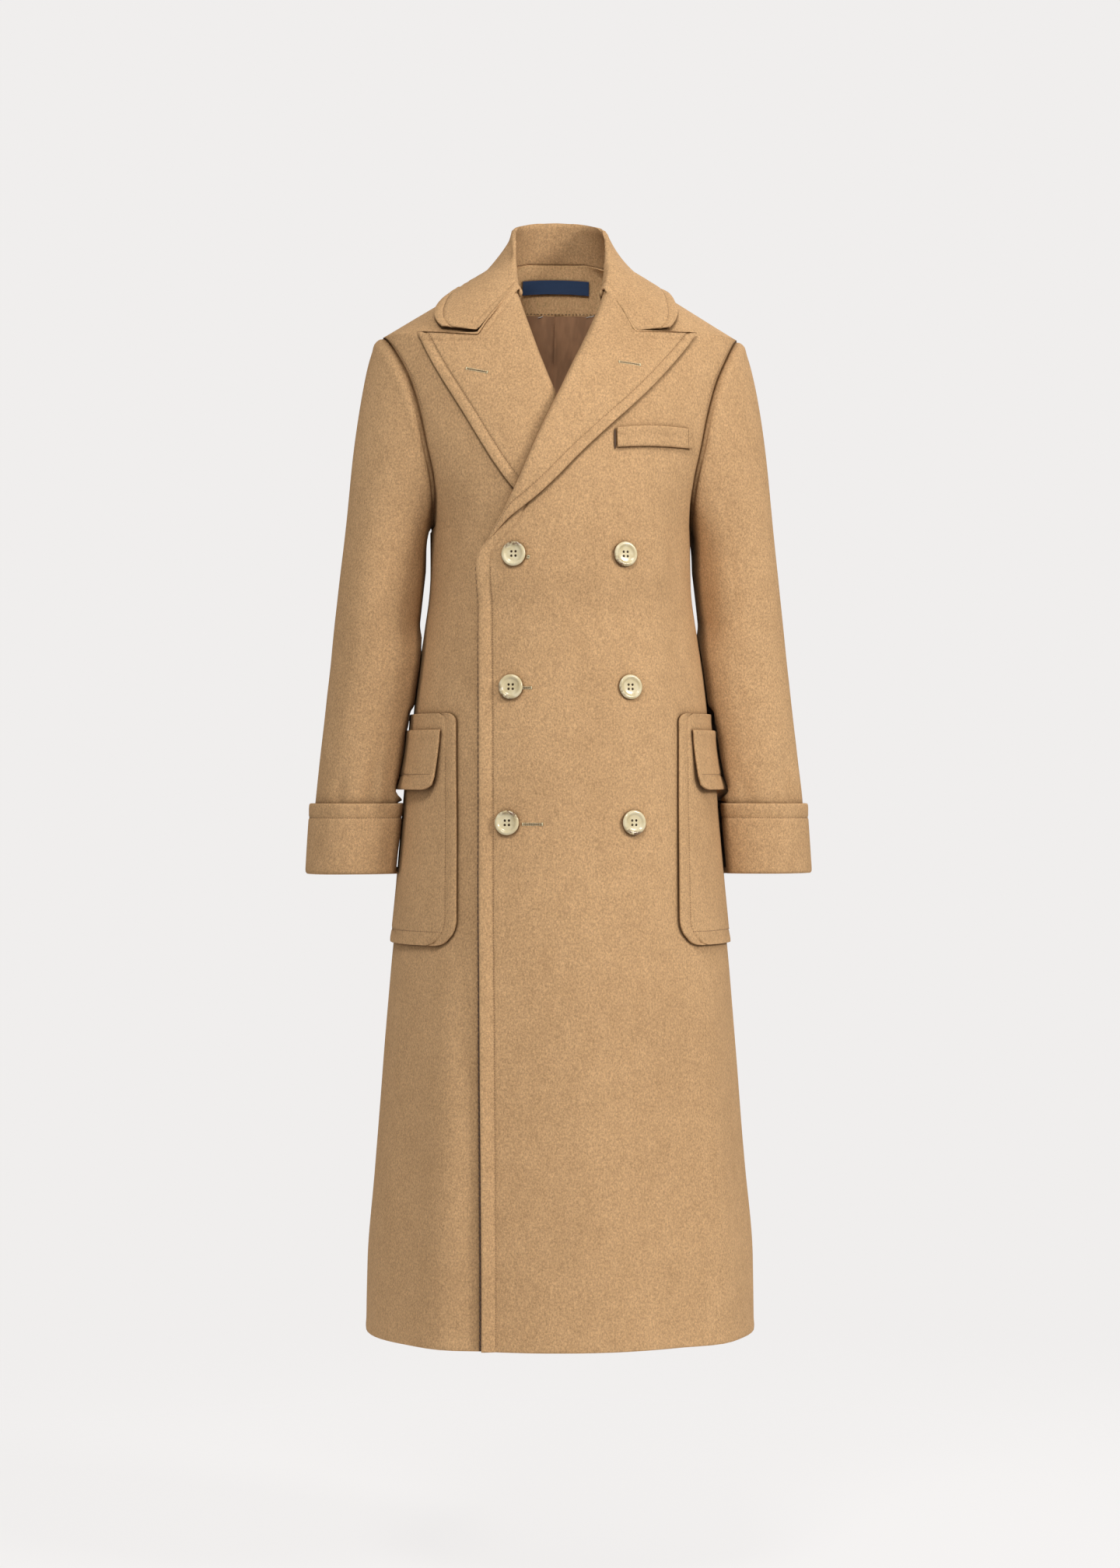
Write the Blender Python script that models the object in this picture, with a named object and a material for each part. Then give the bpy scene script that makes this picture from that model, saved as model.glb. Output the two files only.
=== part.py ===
"""Long double-breasted overcoat with peak lapels, filled out with no wearer.

The coat faces -Y. The origin lies between the two shoulder neck points, where a wearer's shoulders hold it.
Every cloth piece is a wall that is lofted from the body form, the armholes or the sleeve sections below.
"""

import math
from collections import namedtuple

import bpy
import bmesh
from mathutils import Vector

# Cloth
WALL = 0.003
SEAM = 0.00015
LAYER = 0.0038
LAPEL_LAYER = 0.0052
LAPEL_OFF = 0.0044
LINING_WALL = 0.0012
FACING_WALL = 0.002
CLEAR = 0.0004

# Heights
HEM = -1.179
UNDERARM = -0.290
SHOULDER_TIP = -0.075
POCKET_TOP = -0.494
POCKET_BOTTOM = -0.747

# Shoulder line
TIP_HALF_WIDTH = 0.1985
NECK_HALF_WIDTH = 0.075
NECK_RISE = 0.021
NECK_BACK = 0.066
NECK_RISE_POWER = 1.3

# Body form: half width at the sides, depth in front of and behind the side line
SQUARENESS = 2.2
TURN_STEP = 0.02
CLIMB_STEP = 0.002
Ring = namedtuple("Ring", "z half_width front back")
BODY = (
    Ring(-1.179, 0.2160, 0.190, 0.190),
    Ring(-1.100, 0.2150, 0.187, 0.187),
    Ring(-1.000, 0.2068, 0.182, 0.181),
    Ring(-0.920, 0.2005, 0.176, 0.176),
    Ring(-0.820, 0.1922, 0.171, 0.170),
    Ring(-0.747, 0.1857, 0.167, 0.165),
    Ring(-0.677, 0.1783, 0.163, 0.160),
    Ring(-0.600, 0.1712, 0.160, 0.154),
    Ring(-0.500, 0.1645, 0.156, 0.146),
    Ring(-0.450, 0.1590, 0.153, 0.142),
    Ring(-0.407, 0.1523, 0.151, 0.138),
    Ring(-0.355, 0.1460, 0.149, 0.134),
    Ring(-0.320, 0.1453, 0.147, 0.131),
    Ring(-0.290, 0.1455, 0.146, 0.130),
    Ring(-0.275, 0.1480, 0.145, 0.129),
    Ring(-0.236, 0.1614, 0.142, 0.127),
    Ring(-0.200, 0.1755, 0.136, 0.125),
    Ring(-0.164, 0.1858, 0.128, 0.121),
    Ring(-0.129, 0.1945, 0.118, 0.116),
    Ring(-0.100, 0.1995, 0.107, 0.109),
    Ring(-0.075, 0.1985, 0.098, 0.100),
    Ring(-0.0375, 0.1368, 0.0765, 0.086),
    Ring(0.000, 0.0750, 0.050, 0.072),
    Ring(0.020, 0.0421, 0.034, 0.064),
)

# Soft flares of the skirt: where round the body, how wide, how far out, all growing downwards
Flare = namedtuple("Flare", "degrees width out")
FLARES = (
    Flare(128, 11, 0.006),
    Flare(111, 9, -0.004),
    Flare(62, 12, -0.005),
    Flare(42, 11, 0.005),
    Flare(-45, 12, 0.006),
    Flare(-68, 11, -0.005),
    Flare(-112, 11, -0.005),
    Flare(-135, 12, 0.006),
)
FLARE_TOP = -0.62

# Armhole seam: half width at each height
ARMHOLE = (
    (-0.2900, 0.1455), (-0.2835, 0.1435), (-0.2648, 0.1435), (-0.2363, 0.1465), (-0.2012, 0.1540),
    (-0.1638, 0.1615), (-0.1288, 0.1715), (-0.1001, 0.1845), (-0.0815, 0.1945), (-0.0750, 0.1985),
)
ARMHOLE_STEPS = 9
ARMHOLE_DOWN = Vector((0.25, 0, -1))
ARMHOLE_DOWN_START = -0.225
SIDE_SEAM_BACK = math.radians(13)
SIDE_SEAM_TURN = -0.45

# Front edges, from hem to neck: x of the free edge, then of the roll line
LEFT_EDGE = (
    (-1.179, -0.0965), (-0.600, -0.0950), (-0.3376, -0.0930), (-0.3180, -0.0900), (-0.3000, -0.0795),
    (-0.2560, -0.0590), (-0.1937, -0.0325), (-0.1530, -0.0120), (-0.0290, 0.0445), (0.000, 0.0490),
)
RIGHT_EDGE = (
    (-1.179, 0.0965), (-0.600, 0.0950), (-0.3376, 0.0930), (-0.3000, 0.0720), (-0.2560, 0.0445),
    (-0.1937, 0.0105), (-0.1530, -0.0120), (-0.0290, -0.0515), (0.000, -0.0550),
)

# Rows of the body panels below the armhole and above the shoulder tip
LOWER_ROWS = (-1.179, -1.100, -1.020, -0.940, -0.860, -0.790, -0.747, -0.690, -0.620, -0.555,
              -0.494, -0.440, -0.395, -0.360, -0.3376, -0.315)
SHOULDER_ROWS = (-0.060, -0.044, -0.030, -0.015, 0.0)
FRONT_SIDE_STEPS = 8
OVERLAP_STEPS = 5
OVERLAP_LEAST = 0.040
BACK_STEPS = 9

# Where the top front comes down from the under front and its lapel to the body form, and how that moves at the chest
OVER_FRONT_X = 0.098
OVER_LAPEL_X = 0.088
OVER_END_X = 0.122
CHEST_START_SHIFT = -0.055
CHEST_END_SHIFT = 0.025
CHEST_TURN = (-0.320, -0.220)
LAPEL_TURN = (-0.385, -0.340)
NECK_TURN = (-0.132, -0.070)

# Sleeve sections below the armhole: inner and outer x, front and back y
Section = namedtuple("Section", "z inner outer front back")
SLEEVE = (
    Section(-0.335, 0.1495, 0.2449, -0.058, 0.068),
    Section(-0.380, 0.1550, 0.2500, -0.057, 0.069),
    Section(-0.450, 0.1630, 0.2577, -0.054, 0.070),
    Section(-0.500, 0.1712, 0.2632, -0.051, 0.070),
    Section(-0.550, 0.1785, 0.2690, -0.049, 0.068),
    Section(-0.600, 0.1822, 0.2738, -0.048, 0.065),
    Section(-0.666, 0.1890, 0.2796, -0.048, 0.062),
)
SLEEVE_ROWS = (-0.380, -0.430, -0.480, -0.525, -0.570, -0.610, -0.640, -0.666)
SLEEVE_ROUNDNESS = 0.93
SLEEVE_MIDDLE = Vector((0.225, 0.008, 0))
SLEEVE_INSIDE = Vector((0.2, 0, -0.45))
SLEEVE_SEAMS = (5, 13)

# Sleeve cap: its direction at the armhole and at the first section, and what is added towards the outside
CAP_ROWS = 7
CAP_BUNCHING = 1.15
CAP_LEAVE = Vector((0.043, 0, -0.020))
CAP_LEAVE_OUTSIDE = 0.029
CAP_LEAVE_FRONT = Vector((0, -0.012, 0))
CAP_LEAVE_DROP = 0.030
CAP_ARRIVE = Vector((0.0195, 0, -0.175))
CAP_ARRIVE_OUTSIDE = Vector((0.0155, 0, -0.105))

# Cuff: a turned-back band, how far it stands off the sleeve at each height
CuffPoint = namedtuple("CuffPoint", "off z")
CUFF = (
    CuffPoint(0.0050, -0.5925), CuffPoint(0.0042, -0.6250), CuffPoint(0.0038, -0.6560),
    CuffPoint(0.0032, -0.6690), CuffPoint(0.0000, -0.6705), CuffPoint(-0.0030, -0.6693),
    CuffPoint(-0.0030, -0.6665), CuffPoint(0.0006, -0.6665), CuffPoint(0.0008, -0.6560),
    CuffPoint(0.0012, -0.6250), CuffPoint(0.0019, -0.5925),
)

# Collar, wearer's left half from the centre back: place round the neck, fold line and outer edge
CollarStation = namedtuple("CollarStation", "fold_x fold_y fold_z edge_degrees edge_row")
COLLAR = (
    CollarStation(0.0000, 0.0610, 0.0640, -90, -0.0390),
    CollarStation(0.0200, 0.0580, 0.0630, -70, -0.0385),
    CollarStation(0.0370, 0.0490, 0.0600, -50, -0.0370),
    CollarStation(0.0480, 0.0340, 0.0555, -30, -0.0345),
    CollarStation(0.0535, 0.0150, 0.0490, -12, -0.0320),
    CollarStation(0.0545, -0.0040, 0.0380, 0, -0.0310),
    CollarStation(0.0540, -0.0210, 0.0230, 12, -0.0350),
    CollarStation(0.0525, -0.0370, 0.0060, 24, -0.0430),
    CollarStation(0.0500, -0.0530, -0.0120, 35, -0.0530),
    CollarStation(0.0455, -0.0665, -0.0290, 45.7, -0.0630),
)
COLLAR_COLUMNS = 7
COLLAR_STEPS = 2
COLLAR_FRONT = 4
NOTCH_SHARE = 0.55
NOTCH_X = 0.0895
NOTCH_Z = -0.0695
COLLAR_SHIFT_FOLD = -0.0035
COLLAR_SHIFT_EDGE = -0.0100
COLLAR_BULGE = 0.004
CLEAR_STEPS = 60
CLEAR_LOWEST = -0.095
STAND_SHORT = 5
STAND_STEPS = 3
STAND_NEXT_ROW = 0.01
STAND_REACH = math.radians(120)
STAND_BACK = 0.0050
STAND_DROP = 0.0045

# Lapels: x and z on the body form of the corners and of points down the outer edge
Lapel = namedtuple("Lapel", "side roll_top notch tip edge bottom")
LAPEL_LEFT = Lapel(
    1, (0.0440, -0.0325), (0.0790, -0.0725), (0.1445, -0.0755),
    ((0.1120, -0.1200), (0.0720, -0.1620), (0.0145, -0.2130), (-0.0340, -0.2610), (-0.0630, -0.2860)),
    (-0.0850, -0.3120),
)
LAPEL_RIGHT = Lapel(
    -1, (-0.0515, -0.0325), (-0.0995, -0.0725), (-0.1600, -0.0755),
    ((-0.1340, -0.1350), (-0.1010, -0.1890), (-0.0590, -0.2550), (-0.0150, -0.2960), (0.0250, -0.3190)),
    (0.0650, -0.3280),
)
LAPEL_ROWS = 12
LAPEL_COLUMNS = 7
LAPEL_ROLL = 0.0035
LAPEL_TOP_FADE = 3
NOTCH_PLACE = 0.5
ROLL_HIDDEN = -0.170
ROLL_SHOWN = -0.100

# Patch pockets and flaps
CORNER_FRONT = 0.8
CORNER_BACK = 0.4
POCKET_GRID = (9, 11)
FLAP_GRID = (6, 10)
POCKET_FRONT_X = 0.1235
POCKET_BACK = math.radians(-20)
POCKET_CORNER = 0.030
FLAP_TOP = -0.512
FLAP_BOTTOM = -0.578
FLAP_FRONT_X = 0.1330
FLAP_BACK = math.radians(3)
FLAP_CORNER = 0.012
FLAP_FLARE = 0.0035

# Breast welt
WELT_X = (0.053, 0.137)
WELT_TOP = -0.1870
WELT_HEIGHT = 0.0215
WELT_RISE = 0.0015
WELT_ROWS = 3
WELT_COLUMNS = 8

# Buttons, fastened row and ornamental row
BUTTON_RADIUS = 0.0135
BUTTON_THICK = 0.0040
BUTTON_HOLE = 0.0010
BUTTON_HOLE_SPACING = 0.0021
BUTTON_SIDES = 20
HOLE_SIDES = 6
# Half section from the axis outwards, in shares of the radius and of the thickness
BUTTON_PROFILE = (
    (0.00, 0.55), (0.60, 0.60), (0.72, 0.92), (0.84, 1.00), (0.95, 0.86), (1.00, 0.55), (0.90, 0.15), (0.62, 0.00),
    (0.00, 0.00),
)
ButtonRow = namedtuple("ButtonRow", "z right_x left_x")
BUTTONS = (
    ButtonRow(-0.3230, -0.0570, 0.0570),
    ButtonRow(-0.4665, -0.0620, 0.0640),
    ButtonRow(-0.6130, -0.0665, 0.0675),
)

# Neck facing, label and lining: how many of the back's columns by its edge they leave free
FACING_SKIPPED = 1
LABEL_HALF_WIDTH = 0.0385
LABEL_ROWS = (-0.0265, -0.0150)
LABEL_STEPS = 8
LABEL_WALL = 0.0010
LABEL_DEPTH = WALL + CLEAR + FACING_WALL + 0.0014
LINING_SKIPPED = 2
LINING_PLEAT = 0.0020

# Colours and roughness
CAMEL = (0.56, 0.36, 0.19)
LINING_BROWN = (0.21, 0.12, 0.065)
NAVY = (0.030, 0.065, 0.155)
HORN = (0.74, 0.66, 0.42)
CLOTH_ROUGH = 0.9
LABEL_ROUGH = 0.7
LINING_ROUGH = 0.45
HORN_ROUGH = 0.35
SHARP = math.radians(50)


def smooth_curve(points):
    """Smooth function through (input, value) points in rising order, which never overshoots them."""
    xs = [p[0] for p in points]
    ys = [p[1] for p in points]
    secants = [(ys[i + 1] - ys[i]) / (xs[i + 1] - xs[i]) for i in range(len(xs) - 1)]
    slopes = [secants[0]]
    for before, after in zip(secants, secants[1:]):
        slopes.append(0.0 if before * after <= 0 else 2 * before * after / (before + after))
    slopes.append(secants[-1])

    def value(x):
        x = min(max(x, xs[0]), xs[-1])
        i = max(k for k in range(len(xs) - 1) if k == 0 or xs[k] <= x)
        step = xs[i + 1] - xs[i]
        t = (x - xs[i]) / step
        rise = ys[i] * (1 + 2 * t) * (1 - t) ** 2 + ys[i + 1] * t * t * (3 - 2 * t)
        return rise + step * (slopes[i] * t * (1 - t) ** 2 - slopes[i + 1] * t * t * (1 - t))

    return value


def ease(x, start, end):
    """0 before start, 1 after end, smooth between them."""
    t = min(max((x - start) / (end - start), 0.0), 1.0)
    return t * t * (3 - 2 * t)


table_half_width = smooth_curve([(r.z, r.half_width) for r in BODY])
front_depth = smooth_curve([(r.z, r.front) for r in BODY])
back_depth = smooth_curve([(r.z, r.back) for r in BODY])
armhole_half_width = smooth_curve(ARMHOLE)
left_edge_x = smooth_curve(LEFT_EDGE)
right_edge_x = smooth_curve(RIGHT_EDGE)


def half_width(row):
    if row < SHOULDER_TIP:
        return table_half_width(row)
    slope = (TIP_HALF_WIDTH - NECK_HALF_WIDTH) / SHOULDER_TIP
    return NECK_HALF_WIDTH + slope * row


def form_point(angle, row):
    """Point of the outer cloth surface: angle 0 at the wearer's left, 90 degrees at the centre front."""
    c = math.cos(angle)
    s = math.sin(angle)
    depth = front_depth(row) if s > 0 else back_depth(row)
    x = half_width(row) * math.copysign(abs(c) ** (2 / SQUARENESS), c)
    y = -depth * math.copysign(abs(s) ** (2 / SQUARENESS), s)
    degrees = math.degrees(math.atan2(s, c))
    out = sum(f.out * math.exp(-((degrees - f.degrees) / f.width) ** 2) for f in FLARES)
    out *= ease(row, FLARE_TOP, HEM)
    rise = NECK_RISE * ease(row, SHOULDER_TIP, 0.0) * min(max(y / NECK_BACK, 0.0), 1.0) ** NECK_RISE_POWER
    return Vector((x + out * c, y - out * s, row + rise))


def form_normal(angle, row):
    climb = CLIMB_STEP if row >= SHOULDER_TIP else -CLIMB_STEP
    along = form_point(angle + TURN_STEP, row) - form_point(angle - TURN_STEP, row)
    up = (form_point(angle, row + climb) - form_point(angle, row)) / climb
    return up.cross(along).normalized()


def surface(side, angle, row, off=0.0):
    """Point at a height off the form, and the form's direction there, by the angle from that side's line."""
    actual = angle if side > 0 else math.pi - angle
    normal = form_normal(actual, row)
    return form_point(actual, row) + normal * off, normal


def angle_at(x, row, back=False):
    """Angle of the form's point with this x, in front or behind."""
    share = min(max(x / half_width(row), -1.0), 1.0)
    angle = math.acos(math.copysign(abs(share) ** (SQUARENESS / 2), share))
    return -angle if back else angle


def armhole_angle(row, back):
    return angle_at(min(armhole_half_width(row), half_width(row)), row, back)


def armhole_height(step):
    middle = (SHOULDER_TIP + UNDERARM) / 2
    return middle + (SHOULDER_TIP - middle) * math.cos(math.pi * step / ARMHOLE_STEPS)


def armhole_normal(angle, row):
    """Shared by the body and the sleeve, so that their seam faces meet: it turns down under the arm."""
    down = ease(row, ARMHOLE_DOWN_START, UNDERARM)
    return (form_normal(angle, row) * (1 - down) + ARMHOLE_DOWN * down).normalized()


ARMHOLE_ROWS = [armhole_height(k) for k in range(ARMHOLE_STEPS, -1, -1)]
PANEL_ROWS = list(LOWER_ROWS) + ARMHOLE_ROWS + list(SHOULDER_ROWS)


def side_seam_angle(row):
    return -SIDE_SEAM_BACK * (1 - ease(row, SIDE_SEAM_TURN, UNDERARM))


def front_lift(x, row):
    """How far the top front lies outside the body form, over the under front and its lapel."""
    below_neck = 1 - ease(row, *NECK_TURN)
    chest = ease(row, *CHEST_TURN)
    end = OVER_END_X + CHEST_END_SHIFT * chest
    over_front = (1 - ease(x, OVER_FRONT_X + CHEST_START_SHIFT * chest, end)) * below_neck
    over_lapel = 1 - ease(x, OVER_LAPEL_X + CHEST_START_SHIFT * chest, end)
    over_lapel *= ease(row, *LAPEL_TURN) * below_neck
    return LAYER * over_front + LAPEL_LAYER * over_lapel


def mirrored(vector, side):
    return Vector((vector.x * side, vector.y, vector.z))


def wall(name, outer, normals, thickness, material, closed=False):
    """Closed solid from a grid of outer points and the directions that its thickness runs against."""
    inner = [[p - n * thickness for p, n in zip(row, dirs)] for row, dirs in zip(outer, normals)]
    mesh = bpy.data.meshes.new(name)
    bm = bmesh.new()
    top = [[bm.verts.new(p) for p in row] for row in outer]
    low = [[bm.verts.new(p) for p in row] for row in inner]
    rows = len(outer)
    columns = len(outer[0])
    spans = range(columns if closed else columns - 1)
    for i in range(rows - 1):
        for j in spans:
            k = (j + 1) % columns
            bm.faces.new((top[i][j], top[i][k], top[i + 1][k], top[i + 1][j]))
            bm.faces.new((low[i][j], low[i + 1][j], low[i + 1][k], low[i][k]))
    for j in spans:
        k = (j + 1) % columns
        bm.faces.new((top[0][j], low[0][j], low[0][k], top[0][k]))
        bm.faces.new((top[-1][j], top[-1][k], low[-1][k], low[-1][j]))
    if not closed:
        for i in range(rows - 1):
            bm.faces.new((top[i][0], top[i + 1][0], low[i + 1][0], low[i][0]))
            bm.faces.new((top[i][-1], low[i][-1], low[i + 1][-1], top[i + 1][-1]))
    return finish(name, bm, mesh, material)


def finish(name, bm, mesh, material):
    bmesh.ops.triangulate(bm, faces=bm.faces[:])
    if bm.calc_volume(signed=True) < 0:
        bmesh.ops.reverse_faces(bm, faces=bm.faces[:])
    bm.to_mesh(mesh)
    bm.free()
    for polygon in mesh.polygons:
        polygon.use_smooth = True
    mesh.set_sharp_from_angle(angle=SHARP)
    mesh.materials.append(material)
    piece = bpy.data.objects.new(name, mesh)
    coat.objects.link(piece)
    return piece


def grid_normals(points, closed=False):
    """Unit normals of a grid of points, from the lines through each point."""
    rows = len(points)
    columns = len(points[0])
    result = []
    for i in range(rows):
        line = []
        for j in range(columns):
            up = points[min(i + 1, rows - 1)][j] - points[max(i - 1, 0)][j]
            if closed:
                along = points[i][(j + 1) % columns] - points[i][j - 1]
            else:
                along = points[i][min(j + 1, columns - 1)] - points[i][max(j - 1, 0)]
            line.append(along.cross(up).normalized())
        result.append(line)
    return result


def make_material(name, colour, roughness):
    material = bpy.data.materials.new(name)
    material.use_nodes = True
    shader = material.node_tree.nodes["Principled BSDF"]
    shader.inputs["Base Color"].default_value = (*colour, 1)
    shader.inputs["Roughness"].default_value = roughness
    shader.inputs["Metallic"].default_value = 0.0
    return material


def panel_start(row, back):
    """Angle of a panel's outer edge: side seam, armhole or shoulder seam, with half the seam's gap."""
    in_armhole = UNDERARM < row < SHOULDER_TIP
    if in_armhole:
        return armhole_angle(row, back)
    start = side_seam_angle(row) if row < UNDERARM else 0.0
    gap = SEAM / max(half_width(row), NECK_HALF_WIDTH)
    return start - gap if back else start + gap


def even(start, end, steps):
    return [start + (end - start) * k / steps for k in range(steps + 1)]


def back_angles(row):
    return even(panel_start(row, True), -math.pi / 2 + SEAM / half_width(row), BACK_STEPS)


def front_angles(side, row):
    """Angles from a front's side to its free edge: the columns of the overlap are shared by both fronts."""
    own = left_edge_x(row) if side > 0 else -right_edge_x(row)
    other = right_edge_x(row) if side > 0 else -left_edge_x(row)
    inner = angle_at(max(other, own + OVERLAP_LEAST), row)
    side_part = even(panel_start(row, False), inner, FRONT_SIDE_STEPS)
    return side_part + even(inner, angle_at(own, row), OVERLAP_STEPS)[1:]


def body_panel(name, side, back, lift, material):
    """Front or back panel, from its side seam, armhole and shoulder to its free edge or centre seam."""
    outer = []
    normals = []
    for row in PANEL_ROWS:
        angles = back_angles(row) if back else front_angles(side, row)
        points = []
        directions = []
        for angle in angles:
            point, normal = surface(side, angle, row)
            points.append(point + normal * lift(point.x, row))
            directions.append(normal)
        if UNDERARM <= row <= SHOULDER_TIP:
            directions[0] = mirrored(armhole_normal(armhole_angle(row, back), row), side)
        outer.append(points)
        normals.append(directions)
    return wall(name, outer, normals, WALL, material)


def armhole_loop():
    """Seam points round the armhole: over the shoulder tip, down the front and up the back."""
    loop = []
    for k in range(2 * ARMHOLE_STEPS):
        step = k if k <= ARMHOLE_STEPS else 2 * ARMHOLE_STEPS - k
        row = armhole_height(step)
        angle = armhole_angle(row, back=k > ARMHOLE_STEPS)
        loop.append((form_point(angle, row), armhole_normal(angle, row)))
    return loop


section_curves = {
    key: smooth_curve([(getattr(s, "z"), getattr(s, key)) for s in reversed(SLEEVE)])
    for key in ("inner", "outer", "front", "back")
}


def sleeve_section(turn, z):
    """Point of the sleeve's section at one height: turn 0 outside, a quarter at the front."""
    inner = section_curves["inner"](z)
    outer = section_curves["outer"](z)
    middle = (inner + outer) / 2
    centre_y = (section_curves["front"](z) + section_curves["back"](z)) / 2
    depth = (section_curves["back"](z) - section_curves["front"](z)) / 2
    c = math.cos(turn)
    s = math.sin(turn)
    x = middle + (outer - inner) / 2 * math.copysign(abs(c) ** SLEEVE_ROUNDNESS, c)
    return Vector((x, centre_y - depth * math.copysign(abs(s) ** SLEEVE_ROUNDNESS, s), z))


def sleeve_grid():
    """Outer points and normals of the whole left sleeve, rings from the armhole down."""
    loop = armhole_loop()
    count = len(loop)
    rings = []
    for i in range(CAP_ROWS + 1):
        t = (i / CAP_ROWS) ** CAP_BUNCHING
        ring = []
        for k, (seam, normal) in enumerate(loop):
            turn = 2 * math.pi * k / count
            c = math.cos(turn)
            s = math.sin(turn)
            end = sleeve_section(turn, SLEEVE[0].z)
            leave = CAP_LEAVE + Vector((CAP_LEAVE_OUTSIDE * c, 0, -CAP_LEAVE_DROP * s * s)) + CAP_LEAVE_FRONT * s
            arrive = CAP_ARRIVE + CAP_ARRIVE_OUTSIDE * c
            away = Vector((1, 0, 0)) * 2 * SEAM
            point = (seam + away) * (1 + 2 * t) * (1 - t) ** 2 + end * t * t * (3 - 2 * t)
            point += leave * t * (1 - t) ** 2 - arrive * t * t * (1 - t)
            ring.append(point)
        rings.append(ring)
    for z in SLEEVE_ROWS:
        rings.append([sleeve_section(2 * math.pi * k / count, z) for k in range(count)])
    normals = grid_normals(rings, closed=True)
    if normals[-4][0].dot(rings[-4][0] - SLEEVE_INSIDE) < 0:
        normals = [[-n for n in line] for line in normals]
    normals[0] = [normal for _, normal in loop]
    return rings, normals


def sleeve_half(name, side, first, last, material):
    """Top or under sleeve: the columns from one long seam to the other."""
    rings, normals = sleeve_grid()
    count = len(rings[0])
    outer = []
    directions = []
    for ring, line in zip(rings, normals):
        points = [ring[k % count] for k in range(first, last + 1)]
        aims = [line[k % count] for k in range(first, last + 1)]
        start = (points[1] - points[0]).normalized() * SEAM
        end = (points[-2] - points[-1]).normalized() * SEAM
        points[0] = points[0] + start
        points[-1] = points[-1] + end
        outer.append([mirrored(p, side) for p in points])
        directions.append([mirrored(n, side) for n in aims])
    return wall(name, outer, directions, WALL, material)


def cuff(name, side, material):
    """Band round the sleeve end, lofted round the sleeve's own points, with its bottom turned in."""
    count = 2 * ARMHOLE_STEPS
    bm = bmesh.new()
    mesh = bpy.data.meshes.new(name)
    loops = []
    for point in CUFF:
        z = max(point.z, SLEEVE[-1].z)
        ring = [sleeve_section(2 * math.pi * k / count, z) for k in range(count)]
        loop = []
        for k in range(count):
            along = ring[(k + 1) % count] - ring[k - 1]
            out = Vector((along.y, -along.x, 0)).normalized()
            if out.dot(ring[k] - SLEEVE_MIDDLE) < 0:
                out = -out
            place = ring[k] + out * point.off
            place.z = point.z
            loop.append(bm.verts.new(mirrored(place, side)))
        loops.append(loop)
    for a, b in zip(loops, loops[1:] + loops[:1]):
        for k in range(count):
            n = (k + 1) % count
            bm.faces.new((a[k], a[n], b[n], b[k]))
    return finish(name, bm, mesh, material)


def cleared(point, side, off):
    """The point itself, or where it is pushed out to lie clear of the body form."""
    nearest = None
    for number in range(CLEAR_STEPS):
        row = CLEAR_LOWEST * (1 - number / (CLEAR_STEPS - 1))
        if abs(point.x) > half_width(row):
            continue
        place, normal = surface(side, angle_at(point.x * side, row, point.y > 0), row)
        far = (point - place).length
        if nearest is None or far < nearest[0]:
            nearest = (far, (point - place).dot(normal), normal)
    if nearest and nearest[1] < off:
        return point + nearest[2] * (off - nearest[1])
    return point


def collar_lines(side):
    """Fold and outer edge points of one half, from the centre back to the gorge."""
    curves = [smooth_curve(list(enumerate(column))) for column in zip(*COLLAR)]
    last = len(COLLAR) - 1
    folds = []
    edges = []
    for k in range(last * COLLAR_STEPS + 1):
        station = k / COLLAR_STEPS
        x, y, z, degrees, row = [curve(station) for curve in curves]
        front = ease(station, last - COLLAR_FRONT, last)
        folds.append(Vector((x * side + COLLAR_SHIFT_FOLD * front, y, z)))
        angle = math.radians(degrees)
        edge_x = form_point(angle, row).x + COLLAR_SHIFT_EDGE * front * side
        if front > 0:
            angle = angle_at(edge_x, row, degrees < 0)
        edges.append(surface(side, angle, row, LAYER)[0])
    return folds, edges


def collar_half(side):
    """Lines from the fold to the outer edge of one half of the leaf; the last one is its front end."""
    folds, edges = collar_lines(side)
    last = len(folds) - 1
    notch_x = NOTCH_X + COLLAR_SHIFT_EDGE * side
    notch, _ = surface(side, angle_at(notch_x, NOTCH_Z), NOTCH_Z, LAYER)
    half = []
    for k, (fold, edge) in enumerate(zip(folds, edges)):
        line = []
        for j in range(COLLAR_COLUMNS):
            share = j / (COLLAR_COLUMNS - 1)
            if share < NOTCH_SHARE:
                corner = fold.lerp(notch, share / NOTCH_SHARE)
            else:
                corner = notch.lerp(edge, (share - NOTCH_SHARE) / (1 - NOTCH_SHARE))
            point = fold.lerp(edge, share).lerp(corner, ease(k, last - COLLAR_FRONT, last))
            outward = Vector((point.x, point.y, NECK_BACK)).normalized()
            bulge = COLLAR_BULGE * math.sin(math.pi * share)
            line.append(cleared(point + outward * bulge, side, LAPEL_LAYER))
        half.append(line)
    return half


def joined_halves(left, right):
    return list(reversed(right[1:])) + left


def collar_leaf(name, material):
    """The part of the collar that falls from the fold to the outer edge, notch to notch."""
    full = joined_halves(collar_half(1), collar_half(-1))
    normals = grid_normals(full)
    if normals[len(full) // 2][2].y < 0:
        normals = [[-n for n in line] for line in normals]
    return wall(name, full, normals, WALL, material)


def stand_half(side):
    folds, _ = collar_lines(side)
    used = folds[: len(folds) - STAND_SHORT]
    lines = []
    aims = []
    for k, fold in enumerate(used):
        around = -math.pi / 2 + k / (len(used) - 1) * STAND_REACH
        base, normal = surface(side, around, 0.0)
        above, _ = surface(side, around, STAND_NEXT_ROW)
        base += (above - base).normalized() * 2 * CLEAR - normal * WALL
        outward = Vector((fold.x, fold.y, 0)).normalized()
        top = fold - outward * STAND_BACK - Vector((0, 0, STAND_DROP))
        lines.append(even(base, top, STAND_STEPS))
        aims.append(-normal)
    return lines, aims


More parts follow.
